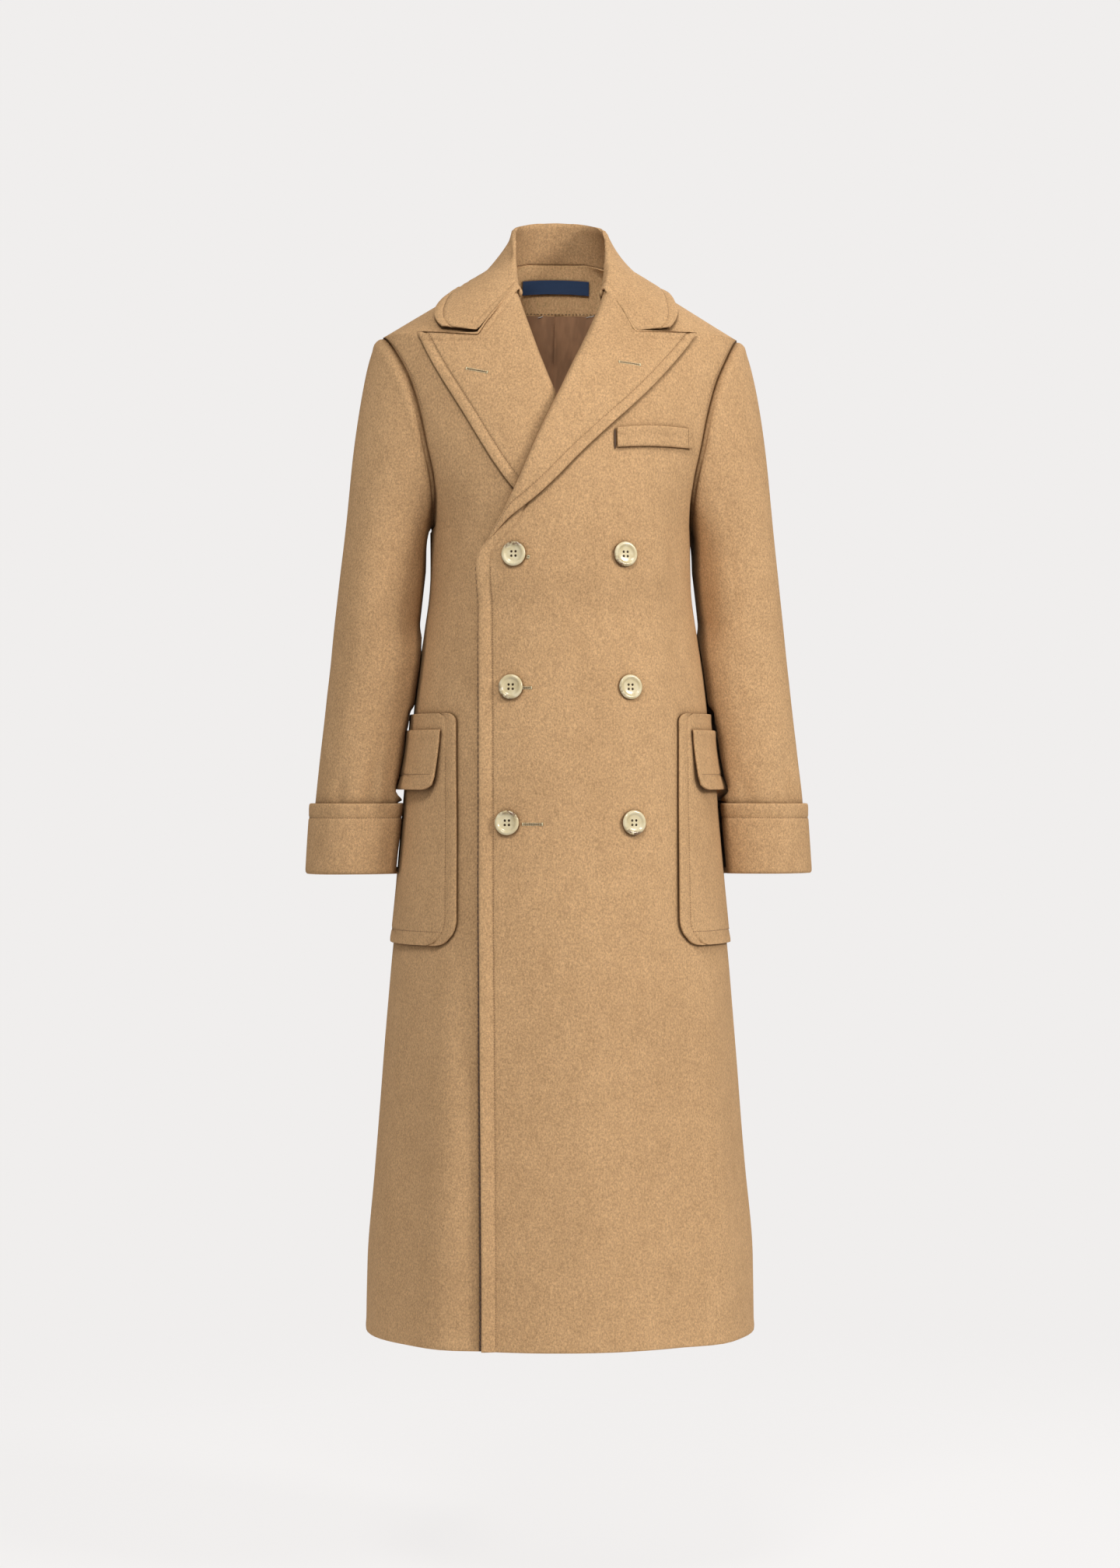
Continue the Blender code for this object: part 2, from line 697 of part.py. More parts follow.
def collar_stand(name, material):
    """Standing part of the collar, from the neck seam up to the fold, inside the leaf."""
    left, left_aims = stand_half(1)
    right, right_aims = stand_half(-1)
    full = joined_halves(left, right)
    aims = joined_halves(left_aims, right_aims)
    normals = grid_normals(full)
    if normals[len(full) // 2][1].y > 0:
        normals = [[-n for n in line] for line in normals]
    for line, aim in zip(normals, aims):
        line[0] = aim
    return wall(name, full, normals, WALL, material)


def lapel(name, shape, lift, material):
    """Turned-out lapel, laid on its front from the roll line to the outer edge."""
    side = shape.side
    bottom_z = shape.bottom[1]
    edge_points = [Vector(p) for p in (shape.tip, *shape.edge, shape.bottom)]
    steps = [(b - a).length for a, b in zip(edge_points, edge_points[1:])]
    shares = [sum(steps[:k]) / sum(steps) for k in range(len(edge_points))]
    edge_x = smooth_curve([(share, p.x) for share, p in zip(shares, edge_points)])
    edge_z = smooth_curve([(share, p.y) for share, p in zip(shares, edge_points)])
    roll_x = left_edge_x if side > 0 else right_edge_x
    outer = []
    normals = []
    for i in range(LAPEL_ROWS):
        v = i / (LAPEL_ROWS - 1)
        roll_z = shape.roll_top[1] + (bottom_z - shape.roll_top[1]) * v
        points = []
        directions = []
        for j in range(LAPEL_COLUMNS):
            u = j / (LAPEL_COLUMNS - 1)
            start = Vector((roll_x(roll_z), roll_z))
            end = Vector((edge_x(v), edge_z(v)))
            flat = start.lerp(end, u)
            notch = Vector(shape.notch)
            if u < NOTCH_PLACE:
                top = Vector(shape.roll_top).lerp(notch, u / NOTCH_PLACE)
            else:
                top = notch.lerp(Vector(shape.tip), (u - NOTCH_PLACE) / (1 - NOTCH_PLACE))
            flat = flat.lerp(top, (1 - v) ** LAPEL_TOP_FADE)
            row = flat.y
            roll = LAPEL_ROLL * (1 - u) ** 2 * math.sin(math.pi * v)
            if side < 0:
                roll *= ease(row, ROLL_HIDDEN, ROLL_SHOWN)
            off = lift(flat.x, row) + LAPEL_OFF + roll
            point, normal = surface(side, angle_at(flat.x * side, row), row, off)
            points.append(point)
            directions.append(normal)
        outer.append(points)
        normals.append(directions)
    return wall(name, outer, normals, WALL, material)


def patch(name, side, top, bottom, front_x, back_angle, corner, grid, off, flare, material):
    """Flat piece laid on a front from its points moved out, with rounded lower corners."""
    rows, columns = grid
    outer = []
    normals = []
    for i in range(rows):
        share = i / (rows - 1)
        row = top + (bottom - top) * math.sin(share * math.pi / 2)
        drop = max(corner - (row - bottom), 0.0)
        inset = corner - math.sqrt(max(corner ** 2 - drop ** 2, 0.0))
        start = angle_at(front_x + inset * CORNER_FRONT, row)
        stop = back_angle + inset / half_width(row) * CORNER_BACK
        points = []
        directions = []
        for j in range(columns):
            angle = start + (stop - start) * j / (columns - 1)
            point, normal = surface(side, angle, row, off + flare * share ** 2)
            points.append(point)
            directions.append(normal)
        outer.append(points)
        normals.append(directions)
    return wall(name, outer, normals, WALL, material)


def breast_welt(name, material):
    outer = []
    normals = []
    for i in range(WELT_ROWS):
        points = []
        directions = []
        for j in range(WELT_COLUMNS):
            u = j / (WELT_COLUMNS - 1)
            x = WELT_X[0] + (WELT_X[1] - WELT_X[0]) * u
            row = WELT_TOP - WELT_HEIGHT * i / (WELT_ROWS - 1) + WELT_RISE * math.sin(math.pi * u)
            angle = angle_at(x, row)
            normal = form_normal(angle, row)
            points.append(form_point(angle, row) + normal * (front_lift(x, row) + LAYER))
            directions.append(normal)
        outer.append(points)
        normals.append(directions)
    return wall(name, outer, normals, WALL, material)


def inside_panel(name, rows, skipped, off, thickness, pleat, material):
    """Facing or lining on the inside of the back, on the back's own columns less those by its edge."""
    outer = []
    normals = []
    for row in rows:
        left = [surface(1, angle, row) for angle in back_angles(row)[skipped:]]
        right = [surface(-1, angle, row) for angle in back_angles(row)[skipped:]]
        line = right[:-1] + list(reversed(left[:-1]))
        middle = len(line) // 2
        points = []
        for number, (point, normal) in enumerate(line):
            ridge = pleat if number in (middle - 1, middle) else 0.0
            points.append(point - normal * (off + ridge))
        outer.append(points)
        normals.append([normal for _, normal in line])
    return wall(name, outer, normals, thickness, material)


def neck_label(name, material):
    """Plain woven label on the neck facing."""
    outer = []
    normals = []
    for row in LABEL_ROWS:
        half = math.pi / 2 - angle_at(LABEL_HALF_WIDTH, row)
        line = [surface(1, angle, row, -LABEL_DEPTH)
                for angle in even(-math.pi / 2 - half, -math.pi / 2 + half, LABEL_STEPS)]
        outer.append([point for point, _ in line])
        normals.append([normal for _, normal in line])
    return wall(name, outer, normals, LABEL_WALL, material)


def button(name, place, aim, material):
    """Turned disc with four thread holes, its face along the cloth's normal."""
    mesh = bpy.data.meshes.new(name)
    bm = bmesh.new()
    verts = [bm.verts.new((x * BUTTON_RADIUS, 0, z * BUTTON_THICK)) for x, z in BUTTON_PROFILE]
    for a, b in zip(verts, verts[1:]):
        bm.edges.new((a, b))
    bmesh.ops.spin(bm, geom=bm.verts[:] + bm.edges[:], cent=(0, 0, 0), axis=(0, 0, 1),
                   angle=2 * math.pi, steps=BUTTON_SIDES, use_merge=True)
    bmesh.ops.remove_doubles(bm, verts=bm.verts[:], dist=0.00001)
    bmesh.ops.recalc_face_normals(bm, faces=bm.faces[:])
    bm.to_mesh(mesh)
    bm.free()
    for polygon in mesh.polygons:
        polygon.use_smooth = True
    mesh.materials.append(material)
    piece = bpy.data.objects.new(name, mesh)
    coat.objects.link(piece)
    piece.location = place
    piece.rotation_euler = aim.to_track_quat("Z", "Y").to_euler()
    cut = piece.modifiers.new("holes", "BOOLEAN")
    cut.object = hole_cutter(name, place, piece.rotation_euler)
    return piece


def hole_cutter(name, place, turn):
    mesh = bpy.data.meshes.new(name + "_holes")
    bm = bmesh.new()
    for sx in (-1, 1):
        for sy in (-1, 1):
            made = bmesh.ops.create_cone(bm, cap_ends=True, segments=HOLE_SIDES, radius1=BUTTON_HOLE,
                                         radius2=BUTTON_HOLE, depth=3 * BUTTON_THICK)
            shift = Vector((sx * BUTTON_HOLE_SPACING, sy * BUTTON_HOLE_SPACING, 0))
            bmesh.ops.translate(bm, verts=made["verts"], vec=shift)
    bm.to_mesh(mesh)
    bm.free()
    cutter = bpy.data.objects.new(name + "_holes", mesh)
    cutters.objects.link(cutter)
    cutter.location = place
    cutter.rotation_euler = turn
    cutter.hide_render = True
    cutter.display_type = "WIRE"
    return cutter


for old in list(bpy.data.objects):
    bpy.data.objects.remove(old)
coat = bpy.data.collections.new("polo_coat")
cutters = bpy.data.collections.new("cutters")
bpy.context.scene.collection.children.link(coat)
bpy.context.scene.collection.children.link(cutters)


def cloth(name):
    return make_material(name + "_cloth", CAMEL, CLOTH_ROUGH)


def flat(x, row):
    return 0.0


# Fronts and backs
body_panel("front_left", 1, False, front_lift, cloth("front_left"))
body_panel("front_right", -1, False, flat, cloth("front_right"))
body_panel("back_left", 1, True, flat, cloth("back_left"))
body_panel("back_right", -1, True, flat, cloth("back_right"))

# Sleeves and cuffs
for label, side in (("left", 1), ("right", -1)):
    front_seam, back_seam = SLEEVE_SEAMS
    count = 2 * ARMHOLE_STEPS
    name = "sleeve_top_" + label
    sleeve_half(name, side, back_seam - count, front_seam, cloth(name))
    name = "sleeve_under_" + label
    sleeve_half(name, side, front_seam, back_seam, cloth(name))
    cuff("cuff_" + label, side, cloth("cuff_" + label))

# Collar and lapels
collar_leaf("collar_leaf", cloth("collar_leaf"))
collar_stand("collar_stand", cloth("collar_stand"))
lapel("lapel_left", LAPEL_LEFT, front_lift, cloth("lapel_left"))
lapel("lapel_right", LAPEL_RIGHT, flat, cloth("lapel_right"))

# Pockets, flaps and breast welt
for label, side in (("left", 1), ("right", -1)):
    patch("pocket_" + label, side, POCKET_TOP, POCKET_BOTTOM, POCKET_FRONT_X, POCKET_BACK, POCKET_CORNER,
          POCKET_GRID, LAYER, 0.0, cloth("pocket_" + label))
    patch("flap_" + label, side, FLAP_TOP, FLAP_BOTTOM, FLAP_FRONT_X, FLAP_BACK, FLAP_CORNER,
          FLAP_GRID, 2 * LAYER, FLAP_FLARE, cloth("flap_" + label))
breast_welt("breast_welt", cloth("breast_welt"))

# Buttons
for number, row in enumerate(BUTTONS, 1):
    for label, x in (("right", row.right_x), ("left", row.left_x)):
        angle = angle_at(x, row.z)
        aim = form_normal(angle, row.z)
        place = form_point(angle, row.z) + aim * (front_lift(x, row.z) + CLEAR)
        name = f"button_{label}_{number}"
        button(name, place, aim, make_material(name + "_horn", HORN, HORN_ROUGH))

# Inside of the back: facing, plain label and lining
facing_rows = SHOULDER_ROWS[1:]
lining_rows = [row for row in PANEL_ROWS if -0.32 < row < facing_rows[0] and row != UNDERARM]
inside_panel("neck_facing", facing_rows, FACING_SKIPPED, WALL + CLEAR, FACING_WALL, 0.0, cloth("neck_facing"))
neck_label("neck_label", make_material("neck_label_weave", NAVY, LABEL_ROUGH))
inside_panel("lining_back", lining_rows, LINING_SKIPPED, WALL + 2 * CLEAR, LINING_WALL, LINING_PLEAT,
             make_material("lining_back_satin", LINING_BROWN, LINING_ROUGH))
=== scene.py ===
"""Looks of a long double-breasted overcoat: camel melton, stitching, satin lining, horn buttons and soft studio light.

Each cloth piece is a thin rounded shell on its solid's own form, which is worked out below from the same named
sizes. The coat faces -Y, and the wearer's left is +X.
"""

import math
from bisect import bisect_right
from collections import namedtuple

import bmesh
import bpy
import numpy as np
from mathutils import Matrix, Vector, noise


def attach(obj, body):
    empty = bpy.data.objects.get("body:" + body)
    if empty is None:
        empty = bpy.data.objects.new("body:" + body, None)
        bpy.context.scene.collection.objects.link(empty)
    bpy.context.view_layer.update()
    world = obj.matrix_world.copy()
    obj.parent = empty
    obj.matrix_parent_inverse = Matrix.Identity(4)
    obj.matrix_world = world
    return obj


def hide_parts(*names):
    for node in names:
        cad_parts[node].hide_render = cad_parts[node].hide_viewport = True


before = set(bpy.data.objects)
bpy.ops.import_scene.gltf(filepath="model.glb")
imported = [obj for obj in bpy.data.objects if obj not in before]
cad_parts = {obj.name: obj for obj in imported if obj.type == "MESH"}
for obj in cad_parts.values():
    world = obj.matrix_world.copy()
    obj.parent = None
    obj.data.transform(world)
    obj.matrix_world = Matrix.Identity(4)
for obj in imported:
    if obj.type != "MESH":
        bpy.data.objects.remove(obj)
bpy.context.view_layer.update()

# Cloth
WALL = 0.003
SEAM = 0.00015
LAYER = 0.0038
LAPEL_LAYER = 0.0052
LAPEL_OFF = 0.0044
LINING_WALL = 0.0012
FACING_WALL = 0.002
CLEAR = 0.0004

# Heights
HEM = -1.179
UNDERARM = -0.290
SHOULDER_TIP = -0.075
POCKET_TOP = -0.494
POCKET_BOTTOM = -0.747

# Shoulder line
TIP_HALF_WIDTH = 0.1985
NECK_HALF_WIDTH = 0.075
NECK_RISE = 0.021
NECK_BACK = 0.066
NECK_RISE_POWER = 1.3

# Body form: half width at the sides, depth in front of and behind the side line
SQUARENESS = 2.2
TURN_STEP = 0.02
CLIMB_STEP = 0.002
Ring = namedtuple("Ring", "z half_width front back")
BODY = (
    Ring(-1.179, 0.2160, 0.190, 0.190),
    Ring(-1.100, 0.2150, 0.187, 0.187),
    Ring(-1.000, 0.2068, 0.182, 0.181),
    Ring(-0.920, 0.2005, 0.176, 0.176),
    Ring(-0.820, 0.1922, 0.171, 0.170),
    Ring(-0.747, 0.1857, 0.167, 0.165),
    Ring(-0.677, 0.1783, 0.163, 0.160),
    Ring(-0.600, 0.1712, 0.160, 0.154),
    Ring(-0.500, 0.1645, 0.156, 0.146),
    Ring(-0.450, 0.1590, 0.153, 0.142),
    Ring(-0.407, 0.1523, 0.151, 0.138),
    Ring(-0.355, 0.1460, 0.149, 0.134),
    Ring(-0.320, 0.1453, 0.147, 0.131),
    Ring(-0.290, 0.1455, 0.146, 0.130),
    Ring(-0.275, 0.1480, 0.145, 0.129),
    Ring(-0.236, 0.1614, 0.142, 0.127),
    Ring(-0.200, 0.1755, 0.136, 0.125),
    Ring(-0.164, 0.1858, 0.128, 0.121),
    Ring(-0.129, 0.1945, 0.118, 0.116),
    Ring(-0.100, 0.1995, 0.107, 0.109),
    Ring(-0.075, 0.1985, 0.098, 0.100),
    Ring(-0.0375, 0.1368, 0.0765, 0.086),
    Ring(0.000, 0.0750, 0.050, 0.072),
    Ring(0.020, 0.0421, 0.034, 0.064),
)

# Soft flares of the skirt: where round the body, how wide, how far out, all growing downwards
Flare = namedtuple("Flare", "degrees width out")
FLARES = (
    Flare(128, 11, 0.006),
    Flare(111, 9, -0.004),
    Flare(62, 12, -0.005),
    Flare(42, 11, 0.005),
    Flare(-45, 12, 0.006),
    Flare(-68, 11, -0.005),
    Flare(-112, 11, -0.005),
    Flare(-135, 12, 0.006),
)
FLARE_TOP = -0.62

# Armhole seam: half width at each height
ARMHOLE = (
    (-0.2900, 0.1455), (-0.2835, 0.1435), (-0.2648, 0.1435), (-0.2363, 0.1465), (-0.2012, 0.1540),
    (-0.1638, 0.1615), (-0.1288, 0.1715), (-0.1001, 0.1845), (-0.0815, 0.1945), (-0.0750, 0.1985),
)
ARMHOLE_STEPS = 9
ARMHOLE_DOWN = Vector((0.25, 0, -1))
ARMHOLE_DOWN_START = -0.225
SIDE_SEAM_BACK = math.radians(13)
SIDE_SEAM_TURN = -0.45

# Front edges, from hem to neck: x of the free edge, then of the roll line
LEFT_EDGE = (
    (-1.179, -0.0965), (-0.600, -0.0950), (-0.3376, -0.0930), (-0.3180, -0.0900), (-0.3000, -0.0795),
    (-0.2560, -0.0590), (-0.1937, -0.0325), (-0.1530, -0.0120), (-0.0290, 0.0445), (0.000, 0.0490),
)
RIGHT_EDGE = (
    (-1.179, 0.0965), (-0.600, 0.0950), (-0.3376, 0.0930), (-0.3000, 0.0720), (-0.2560, 0.0445),
    (-0.1937, 0.0105), (-0.1530, -0.0120), (-0.0290, -0.0515), (0.000, -0.0550),
)

# Where the top front comes down from the under front and its lapel to the body form, and how that moves at the chest
OVER_FRONT_X = 0.098
OVER_LAPEL_X = 0.088
OVER_END_X = 0.122
CHEST_START_SHIFT = -0.055
CHEST_END_SHIFT = 0.025
CHEST_TURN = (-0.320, -0.220)
LAPEL_TURN = (-0.385, -0.340)
NECK_TURN = (-0.132, -0.070)

# Sleeve sections below the armhole: inner and outer x, front and back y
Section = namedtuple("Section", "z inner outer front back")
SLEEVE = (
    Section(-0.335, 0.1495, 0.2449, -0.058, 0.068),
    Section(-0.380, 0.1550, 0.2500, -0.057, 0.069),
    Section(-0.450, 0.1630, 0.2577, -0.054, 0.070),
    Section(-0.500, 0.1712, 0.2632, -0.051, 0.070),
    Section(-0.550, 0.1785, 0.2690, -0.049, 0.068),
    Section(-0.600, 0.1822, 0.2738, -0.048, 0.065),
    Section(-0.666, 0.1890, 0.2796, -0.048, 0.062),
)
SLEEVE_ROUNDNESS = 0.93
SLEEVE_MIDDLE = Vector((0.225, 0.008, 0))

# Sleeve cap: its direction at the armhole and at the first section, and what is added towards the outside
CAP_LEAVE = Vector((0.043, 0, -0.020))
CAP_LEAVE_OUTSIDE = 0.029
CAP_LEAVE_FRONT = Vector((0, -0.012, 0))
CAP_LEAVE_DROP = 0.030
CAP_ARRIVE = Vector((0.0195, 0, -0.175))
CAP_ARRIVE_OUTSIDE = Vector((0.0155, 0, -0.105))

# Collar, wearer's left half from the centre back: place round the neck, fold line and outer edge
CollarStation = namedtuple("CollarStation", "fold_x fold_y fold_z edge_degrees edge_row")
COLLAR = (
    CollarStation(0.0000, 0.0610, 0.0640, -90, -0.0390),
    CollarStation(0.0200, 0.0580, 0.0630, -70, -0.0385),
    CollarStation(0.0370, 0.0490, 0.0600, -50, -0.0370),
    CollarStation(0.0480, 0.0340, 0.0555, -30, -0.0345),
    CollarStation(0.0535, 0.0150, 0.0490, -12, -0.0285),
    CollarStation(0.0545, -0.0040, 0.0380, 0, -0.0265),
    CollarStation(0.0540, -0.0210, 0.0230, 12, -0.0295),
    CollarStation(0.0525, -0.0370, 0.0060, 24, -0.0385),
    CollarStation(0.0500, -0.0530, -0.0120, 38, -0.0545),
    CollarStation(0.0455, -0.0665, -0.0290, 52.5, -0.0725),
)
COLLAR_STEPS = 2
COLLAR_FRONT = 4
NOTCH_SHARE = 0.55
NOTCH_X = 0.0860
NOTCH_Z = -0.0770
COLLAR_SHIFT_FOLD = -0.0035
COLLAR_SHIFT_EDGE = -0.0100
COLLAR_BULGE = 0.004
CLEAR_STEPS = 60
CLEAR_LOWEST = -0.095
STAND_REACH = math.radians(120)

# Lapels: x and z on the body form of the corners and of points down the outer edge
Lapel = namedtuple("Lapel", "side roll_top notch tip edge bottom")
LAPEL_LEFT = Lapel(
    1, (0.0455, -0.0215), (0.0740, -0.0785), (0.1445, -0.0755),
    ((0.1120, -0.1200), (0.0720, -0.1620), (0.0145, -0.2130), (-0.0340, -0.2610), (-0.0630, -0.2860)),
    (-0.0850, -0.3120),
)
LAPEL_RIGHT = Lapel(
    -1, (-0.0525, -0.0215), (-0.0955, -0.0825), (-0.1600, -0.0755),
    ((-0.1340, -0.1350), (-0.1010, -0.1890), (-0.0590, -0.2550), (-0.0150, -0.2960), (0.0250, -0.3190)),
    (0.0650, -0.3280),
)
LAPEL_ROLL = 0.0035
LAPEL_TOP_FADE = 3
NOTCH_PLACE = 0.5
ROLL_HIDDEN = -0.170
ROLL_SHOWN = -0.100

# Patch pockets and flaps
CORNER_FRONT = 0.8
CORNER_BACK = 0.4
POCKET_FRONT_X = 0.1235
POCKET_BACK = math.radians(-20)
POCKET_CORNER = 0.030
FLAP_TOP = -0.512
FLAP_BOTTOM = -0.578
FLAP_FRONT_X = 0.1330
FLAP_BACK = math.radians(3)
FLAP_CORNER = 0.012
FLAP_FLARE = 0.0035

# Breast welt
WELT_X = (0.053, 0.137)
WELT_TOP = -0.1870
WELT_HEIGHT = 0.0215
WELT_RISE = 0.0015

# Buttons, fastened row and ornamental row
BUTTON_RADIUS = 0.0135
BUTTON_THICK = 0.0040
ButtonRow = namedtuple("ButtonRow", "z right_x left_x")
BUTTONS = (
    ButtonRow(-0.3230, -0.0570, 0.0570),
    ButtonRow(-0.4665, -0.0620, 0.0640),
    ButtonRow(-0.6130, -0.0665, 0.0675),
)

# Neck label
LABEL_HALF_WIDTH = 0.0385
LABEL_ROWS = (-0.0265, -0.0150)
LABEL_WALL = 0.0010
LABEL_DEPTH = WALL + CLEAR + FACING_WALL + 0.0014

def smooth_curve(points):
    """Smooth function through (input, value) points in rising order, which never overshoots them."""
    xs = [p[0] for p in points]
    ys = [p[1] for p in points]
    secants = [(ys[i + 1] - ys[i]) / (xs[i + 1] - xs[i]) for i in range(len(xs) - 1)]
    slopes = [secants[0]]
    for before, after in zip(secants, secants[1:]):
        slopes.append(0.0 if before * after <= 0 else 2 * before * after / (before + after))
    slopes.append(secants[-1])

    def value(x):
        x = min(max(x, xs[0]), xs[-1])
        i = min(max(bisect_right(xs, x) - 1, 0), len(xs) - 2)
        step = xs[i + 1] - xs[i]
        t = (x - xs[i]) / step
        rise = ys[i] * (1 + 2 * t) * (1 - t) ** 2 + ys[i + 1] * t * t * (3 - 2 * t)
        return rise + step * (slopes[i] * t * (1 - t) ** 2 - slopes[i + 1] * t * t * (1 - t))

    return value


def ease(x, start, end):
    """0 before start, 1 after end, smooth between them."""
    t = min(max((x - start) / (end - start), 0.0), 1.0)
    return t * t * (3 - 2 * t)


table_half_width = smooth_curve([(r.z, r.half_width) for r in BODY])
front_depth = smooth_curve([(r.z, r.front) for r in BODY])
back_depth = smooth_curve([(r.z, r.back) for r in BODY])
armhole_half_width = smooth_curve(ARMHOLE)
left_edge_x = smooth_curve(LEFT_EDGE)
right_edge_x = smooth_curve(RIGHT_EDGE)


def half_width(row):
    if row < SHOULDER_TIP:
        return table_half_width(row)
    slope = (TIP_HALF_WIDTH - NECK_HALF_WIDTH) / SHOULDER_TIP
    return NECK_HALF_WIDTH + slope * row


def form_point(angle, row):
    """Point of the outer cloth surface: angle 0 at the wearer's left, 90 degrees at the centre front."""
    c = math.cos(angle)
    s = math.sin(angle)
    depth = front_depth(row) if s > 0 else back_depth(row)
    x = half_width(row) * math.copysign(abs(c) ** (2 / SQUARENESS), c)
    y = -depth * math.copysign(abs(s) ** (2 / SQUARENESS), s)
    degrees = math.degrees(math.atan2(s, c))
    out = sum(f.out * math.exp(-((degrees - f.degrees) / f.width) ** 2) for f in FLARES)
    out *= ease(row, FLARE_TOP, HEM)
    rise = NECK_RISE * ease(row, SHOULDER_TIP, 0.0) * min(max(y / NECK_BACK, 0.0), 1.0) ** NECK_RISE_POWER
    return Vector((x + out * c, y - out * s, row + rise))


def form_normal(angle, row):
    climb = CLIMB_STEP if row >= SHOULDER_TIP else -CLIMB_STEP
    along = form_point(angle + TURN_STEP, row) - form_point(angle - TURN_STEP, row)
    up = (form_point(angle, row + climb) - form_point(angle, row)) / climb
    return up.cross(along).normalized()


def surface(side, angle, row, off=0.0):
    """Point at a height off the form, and the form's direction there, by the angle from that side's line."""
    actual = turned(angle, side)
    normal = form_normal(actual, row)
    return form_point(actual, row) + normal * off, normal


def angle_at(x, row, back=False):
    """Angle of the form's point with this x, in front or behind."""
    share = min(max(x / half_width(row), -1.0), 1.0)
    angle = math.acos(math.copysign(abs(share) ** (SQUARENESS / 2), share))
    return -angle if back else angle


def armhole_angle(row, back):
    return angle_at(min(armhole_half_width(row), half_width(row)), row, back)


def armhole_height(step):
    middle = (SHOULDER_TIP + UNDERARM) / 2
    return middle + (SHOULDER_TIP - middle) * math.cos(math.pi * step / ARMHOLE_STEPS)


def armhole_normal(angle, row):
    """Shared by the body and the sleeve, so that their seam faces meet: it turns down under the arm."""
    down = ease(row, ARMHOLE_DOWN_START, UNDERARM)
    return (form_normal(angle, row) * (1 - down) + ARMHOLE_DOWN * down).normalized()


def side_seam_angle(row):
    return -SIDE_SEAM_BACK * (1 - ease(row, SIDE_SEAM_TURN, UNDERARM))


def front_lift(x, row):
    """How far the top front lies outside the body form, over the under front and its lapel."""
    below_neck = 1 - ease(row, *NECK_TURN)
    chest = ease(row, *CHEST_TURN)
    end = OVER_END_X + CHEST_END_SHIFT * chest
    over_front = (1 - ease(x, OVER_FRONT_X + CHEST_START_SHIFT * chest, end)) * below_neck
    over_lapel = 1 - ease(x, OVER_LAPEL_X + CHEST_START_SHIFT * chest, end)
    over_lapel *= ease(row, *LAPEL_TURN) * below_neck
    return LAYER * over_front + LAPEL_LAYER * over_lapel


SHARP = math.radians(75)
WELD = 0.00001


def mirrored(vector, side):
    return Vector((vector.x * side, vector.y, vector.z))


def even(start, end, steps):
    return [start + (end - start) * k / steps for k in range(steps + 1)]


def lengths(line):
    """Length run along a line at each of its points."""
    run = [0.0]
    for a, b in zip(line, line[1:]):
        run.append(run[-1] + (b - a).length)
    return run


def step_at(run, place):
    """The step of a line that a length along it falls in, and the share of that step."""
    i = min(max(bisect_right(run, place) - 1, 0), len(run) - 2)
    return i, (place - run[i]) / max(run[i + 1] - run[i], 1e-9)


def turned(angle, side):
    return angle if side > 0 else math.pi - angle


def across_form(side, row, start, stop):
    """Angles between two angles on one row of the form, and the length run at each."""
    angles = even(start, stop, ROW_SAMPLES)
    return angles, lengths([form_point(turned(a, side), row) for a in angles])


def angle_along(angles, run, place):
    i, share = step_at(run, place)
    return angles[i] + (angles[i + 1] - angles[i]) * share


# Shell grids: distances from an edge at which a grid has lines
RIM_MARKS = (0.0, 0.0002, 0.0007, 0.0015, 0.0030, 0.0055)
SEAM_MARKS = (0.0, 0.0009, 0.0020, 0.0040)
STITCH_MARKS = (-0.0026, -0.0012, 0.0, 0.0012, 0.0026)

# Relief of the cloth
SWELL = 0.00055
SWELL_AT = 0.0045
GROOVE = 0.0010
ARM_DIP = 0.0040
ARM_DIP_WIDTH = 0.0045
GROOVE_WIDTH = 0.0013
SEAM_DIP = 0.0012
SEAM_DIP_WIDTH = 0.0016
UNEVEN = 0.0009
UNEVEN_SCALE = 9.0

Edge = namedtuple("Edge", "kind stitch")
RIM = Edge("rim", None)
JOIN = Edge("join", None)
PLAIN = Edge("plain", None)

# A fold: its two ends in x and z, half width, height, and the side it lies on (-1 front, 1 back, 0 both)
Fold = namedtuple("Fold", "x0 z0 x1 z1 width height face")


def marks(edge):
    """Distances from an edge that need a grid line."""
    if edge.kind == "plain":
        return (0.0,)
    own = RIM_MARKS if edge.kind == "rim" else SEAM_MARKS
    if edge.stitch is None:
        return own
    return own + tuple(edge.stitch + d for d in STITCH_MARKS)


def places(length, steps, start, end):
    """Distances across a piece: the marks of its two edges, and even steps between them."""
    first = marks(start)
    last = marks(end)
    squeeze = min(1.0, 0.85 * length / (first[-1] + last[-1] + 1e-9))
    head = [d * squeeze for d in first]
    tail = [length - d * squeeze for d in reversed(last)]
    return head + even(head[-1], tail[0], steps)[1:-1] + tail


def running(points, axis):
    """Length run along a grid from its start, and to its end."""
    steps = np.linalg.norm(np.diff(points, axis=axis), axis=2)
    zero = np.zeros_like(np.take(steps, [0], axis=axis))
    run = np.concatenate([zero, np.cumsum(steps, axis=axis)], axis=axis)
    total = np.take(run, [-1], axis=axis)
    return run, total - run


def rim_drop(distance, radius):
    near = np.clip(1 - distance / radius, 0, 1)
    return radius * (1 - np.sqrt(1 - near ** 2))


def edge_relief(distance, edge):
    """Height of the cloth by its distance from one edge: swell, stitched channel or seam."""
    height = np.zeros_like(distance)
    if edge.kind == "rim":
        height += SWELL * np.exp(-((distance - SWELL_AT) / SWELL_AT) ** 2)
    if edge.kind == "arm":
        height -= ARM_DIP * np.exp(-(distance / ARM_DIP_WIDTH) ** 2)
    if edge.kind == "join":
        height -= SEAM_DIP * np.exp(-(distance / SEAM_DIP_WIDTH) ** 2)
    if edge.stitch is not None:
        height -= GROOVE * np.exp(-((distance - edge.stitch) / GROOVE_WIDTH) ** 2)
    return height


